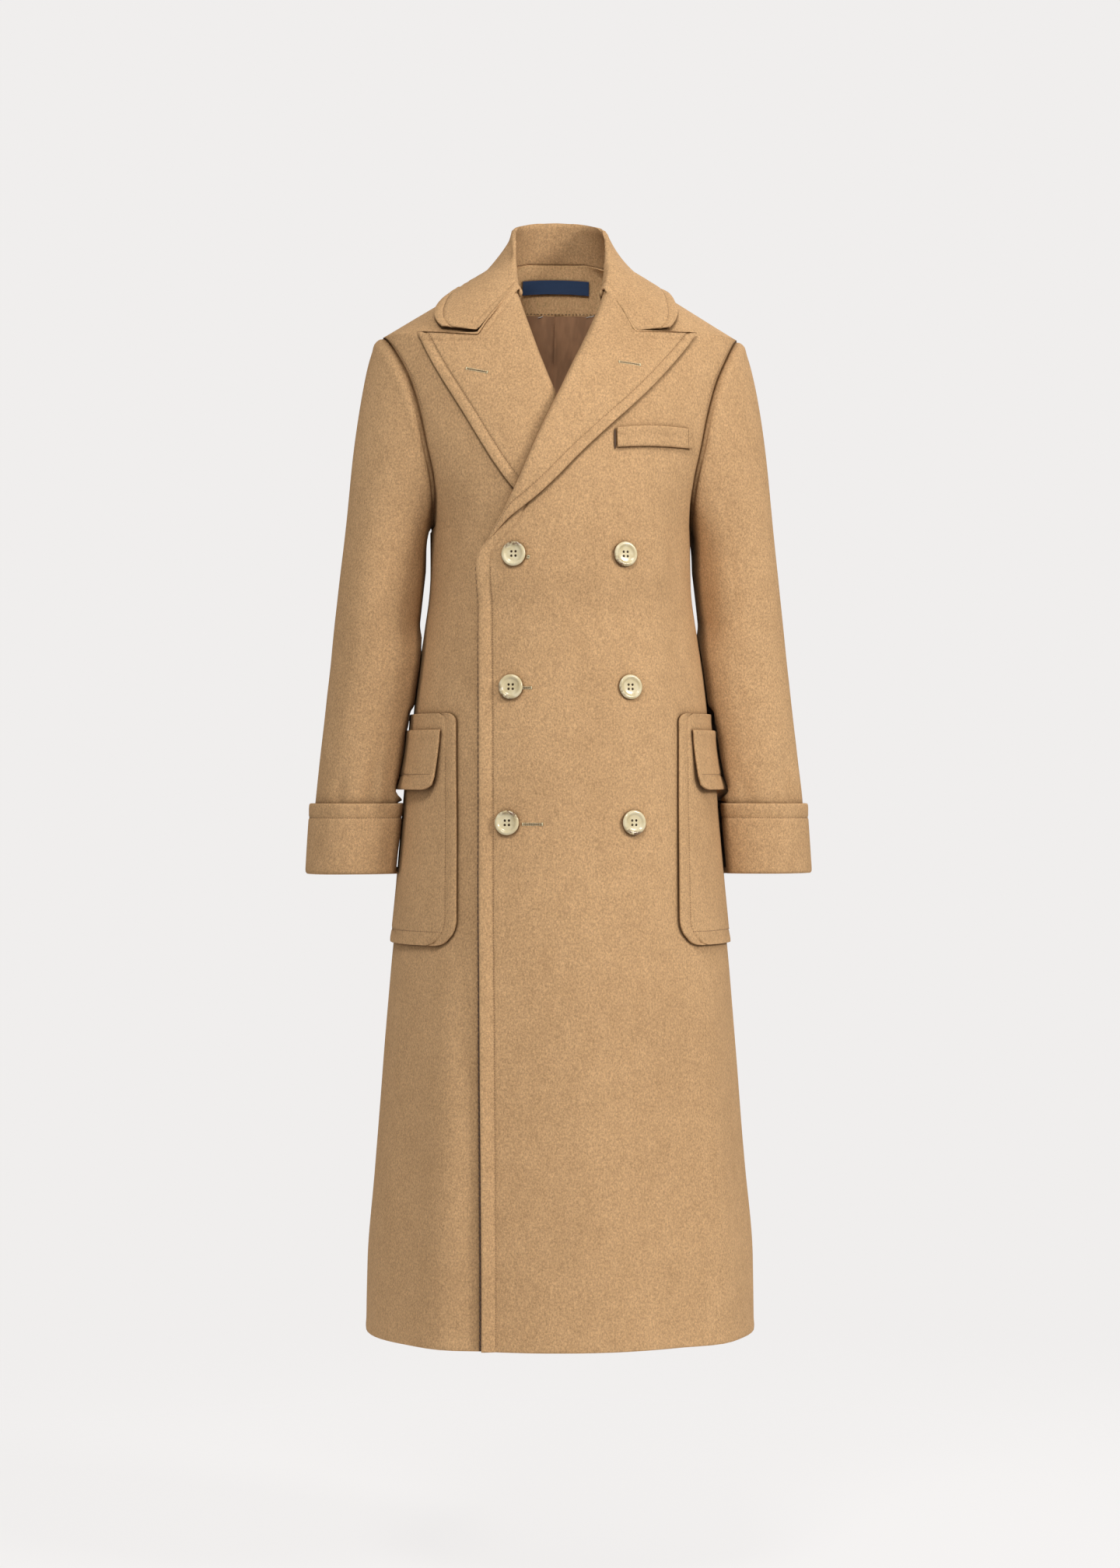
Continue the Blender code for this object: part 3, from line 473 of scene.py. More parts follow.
def fold_relief(points, normals, folds):
    """Height from soft folds, each fading over its own width and towards its ends."""
    height = np.zeros(points.shape[:2])
    for f in folds:
        a = np.array((f.x0, f.z0))
        b = np.array((f.x1, f.z1))
        flat = points[:, :, (0, 2)]
        t = np.clip(((flat - a) @ (b - a)) / ((b - a) @ (b - a)), 0, 1)
        nearest = a + t[:, :, None] * (b - a)
        far = np.linalg.norm(flat - nearest, axis=2)
        shape = np.exp(-(far / f.width) ** 2) * (0.35 + 0.65 * np.sin(math.pi * t))
        if f.face:
            shape = shape * np.clip(0.5 + 2.0 * f.face * normals[:, :, 1], 0, 1)
        height += f.height * shape
    return height


def uneven(points):
    """Slow unevenness of hanging cloth, the same for every layer at one place."""
    rows, columns, _ = points.shape
    flat = points.reshape(-1, 3) * UNEVEN_SCALE
    values = [noise.noise(Vector(p)) for p in flat]
    return np.array(values).reshape(rows, columns) * UNEVEN


def grid_normals(points, closed=False):
    """Unit normals of a grid of points."""
    up = np.gradient(points, axis=0)
    if closed:
        along = np.roll(points, -1, axis=1) - np.roll(points, 1, axis=1)
    else:
        along = np.gradient(points, axis=1)
    normals = np.cross(along, up)
    return normals / np.maximum(np.linalg.norm(normals, axis=2, keepdims=True), 1e-9)


def placed(name, data):
    """New object in the scene."""
    piece = bpy.data.objects.new(name, data)
    bpy.context.scene.collection.objects.link(piece)
    return piece


def mesh_from(name, bm):
    mesh = bpy.data.meshes.new(name)
    bm.to_mesh(mesh)
    bm.free()
    return mesh


def smoothed(mesh):
    for polygon in mesh.polygons:
        polygon.use_smooth = True


def mesh_object(name, verts, faces, material, weld=0.0):
    mesh = bpy.data.meshes.new(name)
    mesh.from_pydata([tuple(v) for v in verts], [], faces)
    bm = bmesh.new()
    bm.from_mesh(mesh)
    if weld:
        bmesh.ops.remove_doubles(bm, verts=bm.verts[:], dist=weld)
    bmesh.ops.recalc_face_normals(bm, faces=bm.faces[:])
    bm.to_mesh(mesh)
    bm.free()
    smoothed(mesh)
    mesh.set_sharp_from_angle(angle=SHARP)
    mesh.materials.append(material)
    return placed(name, mesh)


Shell = namedtuple("Shell", "piece outer normals")


def shell(name, points, normals, thickness, edges, material, closed=False, folds=(), loose=1.0, extra=None):
    """Closed wall with rounded rims on a grid. edges: first row, last row, start and end of each row."""
    points = np.array(points, dtype=float)
    normals = np.array(normals, dtype=float)
    down, up = running(points, 0)
    ahead, back = running(points, 1)
    height = fold_relief(points, normals, folds) + uneven(points) * loose
    if extra is not None:
        height += extra
    drop = np.zeros(points.shape[:2])
    distances = (down, up, ahead, back)
    for edge, distance in zip(edges, distances):
        if edge is None:
            continue
        height += edge_relief(distance, edge)
        if edge.kind == "rim":
            drop = np.maximum(drop, rim_drop(distance, thickness / 2))
    outer = points + normals * (height - drop)[:, :, None]
    inner = points + normals * (height - thickness + drop)[:, :, None]
    rows, columns, _ = points.shape
    count = rows * columns
    faces = []
    spans = columns if closed else columns - 1
    for i in range(rows - 1):
        for j in range(spans):
            k = (j + 1) % columns
            a, b, c, d = i * columns + j, i * columns + k, (i + 1) * columns + k, (i + 1) * columns + j
            faces.append((a, b, c, d))
            faces.append((count + a, count + d, count + c, count + b))
    for j in range(spans):
        k = (j + 1) % columns
        faces.append((j, count + j, count + k, k))
        last = (rows - 1) * columns
        faces.append((last + j, last + k, count + last + k, count + last + j))
    if not closed:
        for i in range(rows - 1):
            a, d = i * columns, (i + 1) * columns
            faces.append((a, d, count + d, count + a))
            a, d = a + columns - 1, d + columns - 1
            faces.append((a, count + a, count + d, d))
    verts = np.concatenate([outer.reshape(-1, 3), inner.reshape(-1, 3)])
    piece = mesh_object(name, verts, faces, material, weld=WELD)
    return Shell(piece, outer, normals)


# Sewing thread
STITCH_PITCH = 0.0026
STITCH_LENGTH = 0.0014
STITCH_RADIUS = 0.00034
STITCH_SUNK = 0.0003
STITCH_PROFILE = ((0.0, 0.35, -1.0), (0.22, 1.0, 0.0), (0.78, 1.0, 0.0), (1.0, 0.35, -1.0))
STITCH_SIDES = 5


class ThreadAndShadeRods:
    """Bits of thread gathered for one mesh; some of these meshes are dark rods of painted shade."""

    def __init__(self, name, material):
        self.name = name
        self.material = material
        self.verts = []
        self.faces = []

    def bit(self, start, end, normal, radius=STITCH_RADIUS, sunk=STITCH_SUNK):
        """One stitch that lies on the cloth between two points and dips in at both."""
        start = Vector(start)
        end = Vector(end)
        normal = Vector(normal)
        along = (end - start).normalized()
        across = along.cross(normal).normalized()
        first = len(self.verts)
        for share, size, lift in STITCH_PROFILE:
            middle = start.lerp(end, share) + normal * (lift * sunk)
            for k in range(STITCH_SIDES):
                turn = 2 * math.pi * k / STITCH_SIDES
                aim = across * math.cos(turn) + normal * math.sin(turn)
                self.verts.append(middle + aim * radius * size)
        for r in range(len(STITCH_PROFILE) - 1):
            for k in range(STITCH_SIDES):
                n = (k + 1) % STITCH_SIDES
                a = first + r * STITCH_SIDES
                self.faces.append((a + k, a + n, a + STITCH_SIDES + n, a + STITCH_SIDES + k))
        self.faces.append(tuple(first + k for k in reversed(range(STITCH_SIDES))))
        top = first + (len(STITCH_PROFILE) - 1) * STITCH_SIDES
        self.faces.append(tuple(top + k for k in range(STITCH_SIDES)))

    def line(self, points, normals, pitch=STITCH_PITCH, length=STITCH_LENGTH, lift=0.0002, radius=STITCH_RADIUS):
        """Even stitches along a path on the cloth."""
        path = [Vector(p) for p in points]
        aims = [Vector(n) for n in normals]
        run = lengths(path)
        if run[-1] < 2 * pitch:
            return

        def at(distance):
            i, t = step_at(run, distance)
            return path[i].lerp(path[i + 1], t), aims[i].lerp(aims[i + 1], t).normalized()

        for number in range(int(run[-1] / pitch)):
            start, normal = at(number * pitch)
            end, _ = at(number * pitch + length)
            self.bit(start + normal * lift, end + normal * lift, normal, radius)

    def made(self):
        return mesh_object(self.name, self.verts, self.faces, self.material)


# Body panels
PANEL_STEP = 0.007
ARMHOLE_FINE = 60
SHOULDER_STEP = 0.003
BODY_COLUMNS = 26
ROW_SAMPLES = 40
FRONT_STITCH = 0.0155
ARMHOLE_STITCH = 0.0100
ROLL_RETREAT = 0.006
CORNER_RETREAT = 0.010
FRONT_LIP = 0.0042
FRONT_LIP_WIDTH = 0.011
SEAM_LAP = 0.0002
ARMHOLE_ROW = -0.300
ROLL_TURN = (-0.318, -0.285)
CORNER_TURN = (-0.030, 0.0)
EDGE_STITCH_TOP = -0.330


def panel_rows():
    """Heights of a body panel's grid lines, from the hem to the neck."""
    hem = [HEM + d for d in marks(RIM)]
    steps = round((ARMHOLE_ROW - hem[-1]) / PANEL_STEP)
    lower = even(hem[-1], ARMHOLE_ROW, steps)[1:]
    middle = (SHOULDER_TIP + UNDERARM) / 2
    half = SHOULDER_TIP - middle
    armhole = [middle - half * math.cos(math.pi * k / ARMHOLE_FINE) for k in range(ARMHOLE_FINE + 1)]
    shoulder = even(SHOULDER_TIP, -0.0005, round(-SHOULDER_TIP / SHOULDER_STEP))[1:]
    return hem + lower + armhole + shoulder


def panel_start(row, back):
    """Angle of a panel's outer edge: side seam, armhole or shoulder seam, with half the seam's gap."""
    if UNDERARM < row < SHOULDER_TIP:
        return armhole_angle(row, back)
    start = side_seam_angle(row) if row < UNDERARM else 0.0
    gap = -SEAM_LAP / max(half_width(row), NECK_HALF_WIDTH)
    return start - gap if back else start + gap


def panel_end(side, row, back):
    """Angle of a panel's other edge: centre seam, or free edge, which draws back into the roll of its lapel."""
    if back:
        return -math.pi / 2 - SEAM_LAP / half_width(row)
    own = left_edge_x(row) if side > 0 else -right_edge_x(row)
    own += ROLL_RETREAT * ease(row, *ROLL_TURN) + CORNER_RETREAT * ease(row, *CORNER_TURN)
    return angle_at(own, row)


def body_panel(name, side, back, lift, edges, material, folds=(), lip=False):
    """Front or back panel with its sewing and soft folds."""
    points = []
    normals = []
    for row in panel_rows():
        first = panel_start(row, back)
        last = panel_end(side, row, back)
        angles, run = across_form(side, row, first, last)
        outer = []
        aims = []
        for place in places(run[-1], BODY_COLUMNS, edges[2], edges[3]):
            free = run[-1] - place
            point, normal = surface(side, angle_along(angles, run, place), row)
            proud = FRONT_LIP * math.exp(-((free / FRONT_LIP_WIDTH) ** 2)) if lip else 0.0
            outer.append(point + normal * (lift(point.x, row) + proud * (1 - ease(row, EDGE_STITCH_TOP, ARMHOLE_ROW))))
            aims.append(normal)
        if UNDERARM <= row <= SHOULDER_TIP:
            aims[0] = mirrored(armhole_normal(armhole_angle(row, back), row), side)
        points.append(outer)
        normals.append(aims)
    return shell(name, points, normals, WALL, edges, material, folds=folds)


def no_lift(x, row):
    return 0.0


# Sleeves
SLEEVE_TURNS = 80
CAP_FINE = 34
SLEEVE_STEP = 0.0035
SLEEVE_REST = 0.0135
SLEEVE_ROPE = 0.0016
SLEEVE_ROPE_AT = 0.010
SLEEVE_SEAM_TURNS = (100.0, 260.0)
SLEEVE_SEAM_DIP = 0.0007
SLEEVE_SEAM_DEGREES = 3.2

section_curves = {
    key: smooth_curve([(s.z, getattr(s, key)) for s in reversed(SLEEVE)])
    for key in ("inner", "outer", "front", "back")
}


def sleeve_section(turn, z):
    """Point of the sleeve's section at one height: turn 0 outside, a quarter at the front."""
    inner = section_curves["inner"](z) - SLEEVE_REST * ease(-z, 0.390, 0.440)
    outer = section_curves["outer"](z)
    middle = (inner + outer) / 2
    centre_y = (section_curves["front"](z) + section_curves["back"](z)) / 2
    depth = (section_curves["back"](z) - section_curves["front"](z)) / 2
    c = math.cos(turn)
    s = math.sin(turn)
    x = middle + (outer - inner) / 2 * math.copysign(abs(c) ** SLEEVE_ROUNDNESS, c)
    return Vector((x, centre_y - depth * math.copysign(abs(s) ** SLEEVE_ROUNDNESS, s), z))


# How far the arm's cloth stays off the form beside it: bare front, pocket, and flap from its top to its bottom
OFF_FRONT = 0.0024
OFF_POCKET = 0.0086
OFF_FLAP = (0.0102, 0.0185)
OFF_IN_CUFF = 0.0064


def stand_off(z):
    off = OFF_FRONT + (OFF_POCKET - OFF_FRONT) * ease(-z, -POCKET_TOP - 0.012, -POCKET_TOP - 0.002)
    share = min(max((FLAP_TOP - z) / (FLAP_TOP - FLAP_BOTTOM), 0.0), 1.0)
    flap = OFF_FLAP[0] + (OFF_FLAP[1] - OFF_FLAP[0]) * share ** 2 - OFF_POCKET
    here = ease(-z, -FLAP_TOP - 0.010, -FLAP_TOP) * (1 - ease(-z, -FLAP_BOTTOM + 0.001, -FLAP_BOTTOM + 0.011))
    return off + flap * here


def held_clear(points, extra=0.0):
    """Moves a left sleeve's or cuff's points outwards where they would touch the coat's side."""
    rows, columns, _ = points.shape
    for i in range(rows):
        z = points[i, :, 2].mean()
        if z > UNDERARM - 0.05:
            continue
        side_line = [form_point(math.radians(a), z) for a in range(80, -81, -4)]
        across = np.interp(points[i, :, 1], [p.y for p in side_line], [p.x for p in side_line])
        least = across + stand_off(z) + (extra if z < CUFF_TOP + 0.003 else 0.0)
        points[i, :, 0] = np.maximum(points[i, :, 0], least)
    return points


def armhole_loop(count):
    """Seam points round the armhole: over the shoulder tip, down the front and up the back."""
    loop = []
    for k in range(count):
        step = k * 2 * ARMHOLE_STEPS / count
        back = step > ARMHOLE_STEPS
        row = armhole_height(2 * ARMHOLE_STEPS - step if back else step)
        angle = armhole_angle(row, back)
        loop.append((form_point(angle, row), armhole_normal(angle, row)))
    return loop


def sleeve(name, side, material, folds=()):
    """Whole sleeve as one tube with two long seams, its head eased over the armhole."""
    loop = armhole_loop(SLEEVE_TURNS)
    top = SLEEVE[0].z
    bottom = SLEEVE[-1].z
    shares = [0.0, 0.012, 0.03, 0.055] + even(0.08, 1.0, CAP_FINE)
    rings = []
    for t in shares:
        ring = []
        for k, (seam, normal) in enumerate(loop):
            turn = 2 * math.pi * k / SLEEVE_TURNS
            c = math.cos(turn)
            s = math.sin(turn)
            end = sleeve_section(turn, top)
            leave = CAP_LEAVE + Vector((CAP_LEAVE_OUTSIDE * c, 0, -CAP_LEAVE_DROP * s * s)) + CAP_LEAVE_FRONT * s
            arrive = CAP_ARRIVE + CAP_ARRIVE_OUTSIDE * c
            away = Vector((2 * SEAM, 0, 0))
            point = (seam + away) * (1 + 2 * t) * (1 - t) ** 2 + end * t * t * (3 - 2 * t)
            ring.append(point + leave * t * (1 - t) ** 2 - arrive * t * t * (1 - t))
        rings.append(ring)
    for z in even(top, bottom, round((top - bottom) / SLEEVE_STEP))[1:]:
        rings.append([sleeve_section(2 * math.pi * k / SLEEVE_TURNS, z) for k in range(SLEEVE_TURNS)])
    points = held_clear(np.array(rings), OFF_IN_CUFF)
    normals = grid_normals(points, closed=True)
    if normals[-4, 0, 0] < 0:
        normals = -normals
    normals[0] = np.array([tuple(n) for _, n in loop])
    down, _ = running(points, 0)
    turns = np.arange(SLEEVE_TURNS) * 360.0 / SLEEVE_TURNS
    head = np.clip(np.cos(np.radians(turns)) + 0.55, 0, 1)[None, :]
    extra = SLEEVE_ROPE * head * np.exp(-((down - SLEEVE_ROPE_AT) / (0.6 * SLEEVE_ROPE_AT)) ** 2)
    for seam in SLEEVE_SEAM_TURNS:
        off = np.abs((turns - seam + 180) % 360 - 180)[None, :]
        extra = extra - SLEEVE_SEAM_DIP * np.exp(-(off / SLEEVE_SEAM_DEGREES) ** 2) * np.ones_like(down)
    points[:, :, 0] *= side
    normals[:, :, 0] *= side
    edges = (JOIN, PLAIN, None, None)
    return shell(name, points, normals, WALL, edges, material, closed=True, folds=folds, extra=extra)


# Cuffs: how far the band's face stands off the sleeve down its height, from its top edge to its turned-in bottom
CUFF_TURNS = 96
CUFF_STEP = 0.0025
CUFF_STITCH = 0.0160
CUFF_TOP = -0.5925
CUFF_BOTTOM = -0.6705
CUFF_OFF_TOP = 0.0062
CUFF_OFF_BOTTOM = 0.0042
CUFF_WALL = 0.0032


def cuff(name, side, material):
    """Turned-back band round the sleeve end, with a rolled top edge and its bottom turned in."""
    heights = [CUFF_TOP - d for d in marks(Edge("rim", CUFF_STITCH))]
    heights += even(heights[-1], CUFF_BOTTOM + 0.004, round((heights[-1] - CUFF_BOTTOM - 0.004) / CUFF_STEP))[1:]
    turned = [(-0.0002, CUFF_BOTTOM + 0.0015), (-0.0014, CUFF_BOTTOM), (-0.0040, CUFF_BOTTOM + 0.0002),
              (-0.0062, CUFF_BOTTOM + 0.0014), (-0.0072, CUFF_BOTTOM + 0.0035), (-0.0074, CUFF_BOTTOM + 0.0065)]
    profile = []
    for z in heights:
        share = (CUFF_TOP - z) / (CUFF_TOP - CUFF_BOTTOM)
        profile.append((CUFF_OFF_TOP + (CUFF_OFF_BOTTOM - CUFF_OFF_TOP) * share, z))
    profile += [(CUFF_OFF_BOTTOM + off, z) for off, z in turned]
    points = []
    for off, z in profile:
        ring = [sleeve_section(2 * math.pi * k / CUFF_TURNS, max(z, SLEEVE[-1].z)) for k in range(CUFF_TURNS)]
        line = []
        for k in range(CUFF_TURNS):
            along = ring[(k + 1) % CUFF_TURNS] - ring[k - 1]
            out = Vector((along.y, -along.x, 0)).normalized()
            if out.dot(ring[k] - SLEEVE_MIDDLE) < 0:
                out = -out
            place = ring[k] + out * off
            line.append((place.x, place.y, z))
        points.append(line)
    points = held_clear(np.array(points))
    normals = grid_normals(points, closed=True)
    if normals[6, 0, 0] < 0:
        normals = -normals
    points[:, :, 0] *= side
    normals[:, :, 0] *= side
    edges = (Edge("rim", CUFF_STITCH), PLAIN, None, None)
    return shell(name, points, normals, CUFF_WALL, edges, material, closed=True)


# Collar
COLLAR_FINE = 8
LEAF_STEPS = 26
LEAF_SHARES = 24
STAND_LINES = 12
COLLAR_STITCH = 0.0120
COLLAR_THICK = 0.0027
COLLAR_HOLLOW = {1: 0.0125, -1: 0.0185}
FOLD_UP = 0.0010
CREST_IN = 0.0026
FOLD_IN = 0.0052
FOLD_DOWN = 0.0016
STAND_STATION = 6.5
collar_curves = [smooth_curve(list(enumerate(column))) for column in zip(*COLLAR)]


def cleared(point, side, off):
    """The point itself, or where it is pushed out to lie clear of the body form."""
    nearest = None
    for number in range(CLEAR_STEPS):
        row = CLEAR_LOWEST * (1 - number / (CLEAR_STEPS - 1))
        if abs(point.x) > half_width(row):
            continue
        angle = angle_at(point.x * side, row, point.y > 0)
        place = form_point(turned(angle, side), row)
        far = (point - place).length
        if nearest is None or far < nearest[0]:
            nearest = (far, angle, row)
    if nearest is None:
        return point
    place, normal = surface(side, nearest[1], nearest[2])
    depth = (point - place).dot(normal)
    return point + normal * (off - depth) if depth < off else point


def collar_station(station, side):
    """Fold point, points of the leaf down to its outer edge, and base of the stand."""
    last = len(COLLAR) - 1
    x, y, z, degrees, row = [curve(station) for curve in collar_curves]
    front = ease(station, last - COLLAR_FRONT, last)
    fold = Vector((x * side + COLLAR_SHIFT_FOLD * front, y, z))
    angle = math.radians(degrees)
    edge_x = form_point(angle, row).x + COLLAR_SHIFT_EDGE * front * side
    if front > 0:
        angle = angle_at(edge_x, row, degrees < 0)
    edge = surface(side, angle, row, LAYER)[0]
    notch_x = NOTCH_X + COLLAR_SHIFT_EDGE * side
    notch, _ = surface(side, angle_at(notch_x, NOTCH_Z), NOTCH_Z, LAYER)
    corner_share = ease(station * COLLAR_STEPS, last * COLLAR_STEPS - COLLAR_FRONT, last * COLLAR_STEPS)
    hollow = COLLAR_HOLLOW[side] * ease(station, 1.5, 4.0) * (1 - 0.8 * ease(station, 7.0, 9.0))
    leaf = []
    for share in even(0.0, 1.0, LEAF_SHARES):
        if share < NOTCH_SHARE:
            corner = fold.lerp(notch, share / NOTCH_SHARE)
        else:
            corner = notch.lerp(edge, (share - NOTCH_SHARE) / (1 - NOTCH_SHARE))
        point = fold.lerp(edge, share).lerp(corner, corner_share)
        outward = Vector((point.x, point.y, NECK_BACK)).normalized()
        bulge = COLLAR_BULGE * math.sin(math.pi * share) - hollow * math.sin(math.pi * share ** 0.9)
        leaf.append(cleared(point + outward * bulge, side, LAPEL_LAYER))
    return fold, leaf, stand_base(station, side)


def stand_base(station, side):
    """Where the collar's inner face meets the neck seam, and in front the roll line."""
    last = len(COLLAR) - 1
    if station <= STAND_STATION:
        around = -math.pi / 2 + STAND_REACH * station / STAND_STATION
        base, normal = surface(side, around, 0.0)
        return base - normal * WALL
    t = (station - STAND_STATION) / (last - STAND_STATION)
    x, y, z, _, _ = [curve(station) for curve in collar_curves]
    base, normal = surface(side, -math.pi / 2 + STAND_REACH, 0.0)
    end = Vector((x * side + COLLAR_SHIFT_FOLD * ease(station, last - COLLAR_FRONT, last), y + 0.013, z - 0.014))
    return (base - normal * WALL).lerp(end, ease(t, 0.0, 1.0))


def rounded(points, places_along):
    """Points at given distances along a smooth curve through the points."""
    fine = []
    count = len(points)
    for i in range(count - 1):
        before = points[max(i - 1, 0)]
        a = points[i]
        b = points[i + 1]
        after = points[min(i + 2, count - 1)]
        for k in range(6):
            t = k / 6
            fine.append(0.5 * ((2 * a) + (b - before) * t + (2 * before - 5 * a + 4 * b - after) * t * t
                               + (3 * a - before - 3 * b + after) * t ** 3))
    fine.append(points[-1])
    run = lengths(fine)
    result = []
    for place in places_along(run[-1]):
        i, t = step_at(run, place)
        result.append(fine[i].lerp(fine[i + 1], t))
    return result


def collar(name, material):
    """Collar in one piece: outer edge, leaf, rolled fold and stand down to the neck seam."""
    last = len(COLLAR) - 1
    edge = Edge("rim", COLLAR_STITCH)
    near_end = [last - d / 0.019 for d in marks(edge)]
    half = sorted(set(even(0.0, near_end[-1], COLLAR_FINE * (last - 1)) + near_end))
    stations = [(s, -1) for s in reversed(half[1:])] + [(s, 1) for s in half]
    lines = []
    for station, side in stations:
        fold, leaf, base = collar_station(station, side)
        inward = Vector((fold.x, fold.y, 0)).normalized()
        crest = fold - inward * CREST_IN + Vector((0, 0, FOLD_UP))
        top = fold - inward * FOLD_IN - Vector((0, 0, FOLD_DOWN))
        room = (top - base).length
        stand = [top.lerp(base, k / 3) for k in range(0, 4)] if room > 0.006 else [top, base]
        path = list(reversed(leaf[1:])) + [leaf[0].lerp(leaf[1], 0.15), crest] + stand
        line = rounded(path, lambda length: places(length, LEAF_STEPS + STAND_LINES, edge, PLAIN))
        lines.append(line)
    points = np.array(lines)
    normals = grid_normals(points)
    middle = len(lines) // 2
    if normals[middle, 10, 1] < 0:
        normals = -normals
    return shell(name, points, normals, COLLAR_THICK, (edge, edge, edge, PLAIN), material, loose=0.5)


# Lapels
LAPEL_ROWS_FINE = 110
LAPEL_STEPS = 22
LAPEL_STITCH = 0.0120
LAPEL_BEHIND = 0.014
LAPEL_THICK = 0.0027
FRONT_BEHIND = 0.0066
LAPEL_MERGE = 0.0006
LAPEL_END = (0.86, 1.0)


def lapel(name, shape, lift, material):
    """Lapel from its outer edge to the roll line, rolled over and tucked behind its front's edge."""
    side = shape.side
    corners = [Vector(p) for p in (shape.tip, *shape.edge, shape.bottom)]
    steps = [(b - a).length for a, b in zip(corners, corners[1:])]
    shares = [sum(steps[:k]) / sum(steps) for k in range(len(corners))]
    edge_x = smooth_curve([(share, p.x) for share, p in zip(shares, corners)])
    edge_z = smooth_curve([(share, p.y) for share, p in zip(shares, corners)])
    roll_x = left_edge_x if side > 0 else right_edge_x
    long_edge = Edge("rim", LAPEL_STITCH)
    tall = sum(steps)
    vs = [d / tall for d in marks(long_edge)]
    vs = vs + even(vs[-1], 1.0, LAPEL_ROWS_FINE)[1:]
    lines = []
    for v in vs:
        roll_z = shape.roll_top[1] + (shape.bottom[1] - shape.roll_top[1]) * v
        start = Vector((roll_x(roll_z), roll_z))
        end = Vector((edge_x(v), edge_z(v)))
        fine = []
        for k in range(41):
            u = k / 40
            flat = start.lerp(end, u)
            notch = Vector(shape.notch)
            if u < NOTCH_PLACE:
                top = Vector(shape.roll_top).lerp(notch, u / NOTCH_PLACE)
            else:
                top = notch.lerp(Vector(shape.tip), (u - NOTCH_PLACE) / (1 - NOTCH_PLACE))
            fine.append(flat.lerp(top, (1 - v) ** LAPEL_TOP_FADE))
        run = lengths(fine)
        length = max(run[-1], 0.004)
        aim = (fine[1] - fine[0]).normalized() if run[-1] > 0.002 else Vector((side * -1.0, 0.0))
        roll = LAPEL_ROLL * math.sin(math.pi * v)
        if side < 0:
            roll *= ease(roll_z, ROLL_HIDDEN, ROLL_SHOWN)
        rest = LAPEL_OFF - (LAPEL_OFF + LAPEL_MERGE) * ease(v, *LAPEL_END)
        top_off = rest + roll
        radius = (top_off + FRONT_BEHIND) / 2
        radius = min(radius, 0.5 * length)
        line = []
        for place in places(length, LAPEL_STEPS, long_edge, PLAIN):
            s = length - place
            u = s / length
            i, t = step_at(run, s)
            flat = fine[i].lerp(fine[i + 1], min(t, 1.0))
            bend = max(radius - s, 0.0) / radius
            off = rest + roll * (1 - u) ** 2 - radius * (1 - math.sqrt(max(1 - bend * bend, 0.0)))
            line.append((flat, off))
        for k in range(1, 5):
            turn = math.pi / 2 * k / 4
            place = fine[0] + aim * radius * (1 - math.cos(turn))
            line.append((place, rest + roll - radius - radius * math.sin(turn)))
        for k in range(1, 4):
            far = radius + (LAPEL_BEHIND - radius) * k / 3
            line.append((fine[0] + aim * far, rest + roll - 2 * radius))
        spots = []
        for flat, off in line:
            row = min(flat.y, -0.0005)
            point, normal = surface(side, angle_at(flat.x * side, row), row)
            spots.append(point + normal * (lift(flat.x, row) + off))
        lines.append(spots)
    points = np.array(lines)
    normals = grid_normals(points)
    if normals[len(vs) // 3, 8, 1] > 0:
        normals = -normals
    edges = (long_edge, PLAIN, long_edge, PLAIN)
    return shell(name, points, normals, LAPEL_THICK, edges, material)


# Patch pockets and flaps
PATCH_ROWS = 60
PATCH_COLUMNS = 44
POCKET_STITCH = 0.0150
POCKET_TOP_CORNER = 0.009
POCKET_FORWARD = 0.0040
POCKET_BOW = 0.0016
FLAP_STITCH = 0.0170
FLAP_SLANT = 0.0050
FLAP_LOOSE = 0.002
FLAP_CURL = 0.0035


def patch(name, side, top, bottom, front_x, back_angle, corner, off, flare, edges, material, curl=0.0, bow=0.0,
          top_corner=0.0, slant=0.0):
    """Flat piece laid on a front, with rounded lower corners, its outer lower corner curling away."""
    points = []
    normals = []
    for place in places(top - bottom, PATCH_ROWS, edges[0], edges[1]):
        row = top - place
        share = place / (top - bottom)
        drop = max(corner - (row - bottom), 0.0)
        inset = corner - math.sqrt(max(corner ** 2 - drop ** 2, 0.0))
        rise = max(top_corner - place, 0.0)
        top_inset = top_corner - math.sqrt(max(top_corner ** 2 - rise ** 2, 0.0))
        start = angle_at(front_x + inset * CORNER_FRONT + top_inset + slant * share, row)
        stop = back_angle + inset / half_width(row) * CORNER_BACK
        angles, run = across_form(side, row, start, stop)
        outer = []
        aims = []
        for across in places(run[-1], PATCH_COLUMNS, edges[2], edges[3]):
            u = across / run[-1]
            lift = off + flare * share ** 2
            lift += curl * ease(u, 0.72, 1.0) * share ** 3
            lift += bow * math.sin(math.pi * u) * math.sin(math.pi * share)
            point, normal = surface(side, angle_along(angles, run, across), row)
            outer.append(point + normal * lift)
            aims.append(normal)
        points.append(outer)
        normals.append(aims)
    return shell(name, points, normals, WALL, edges, material)


WELT_TILT = 0.0050
WELT_FORWARD = 0.0030
WELT_STRETCH = 1.03
WELT_GAPE = 0.0042
WELT_STITCH = 0.0035


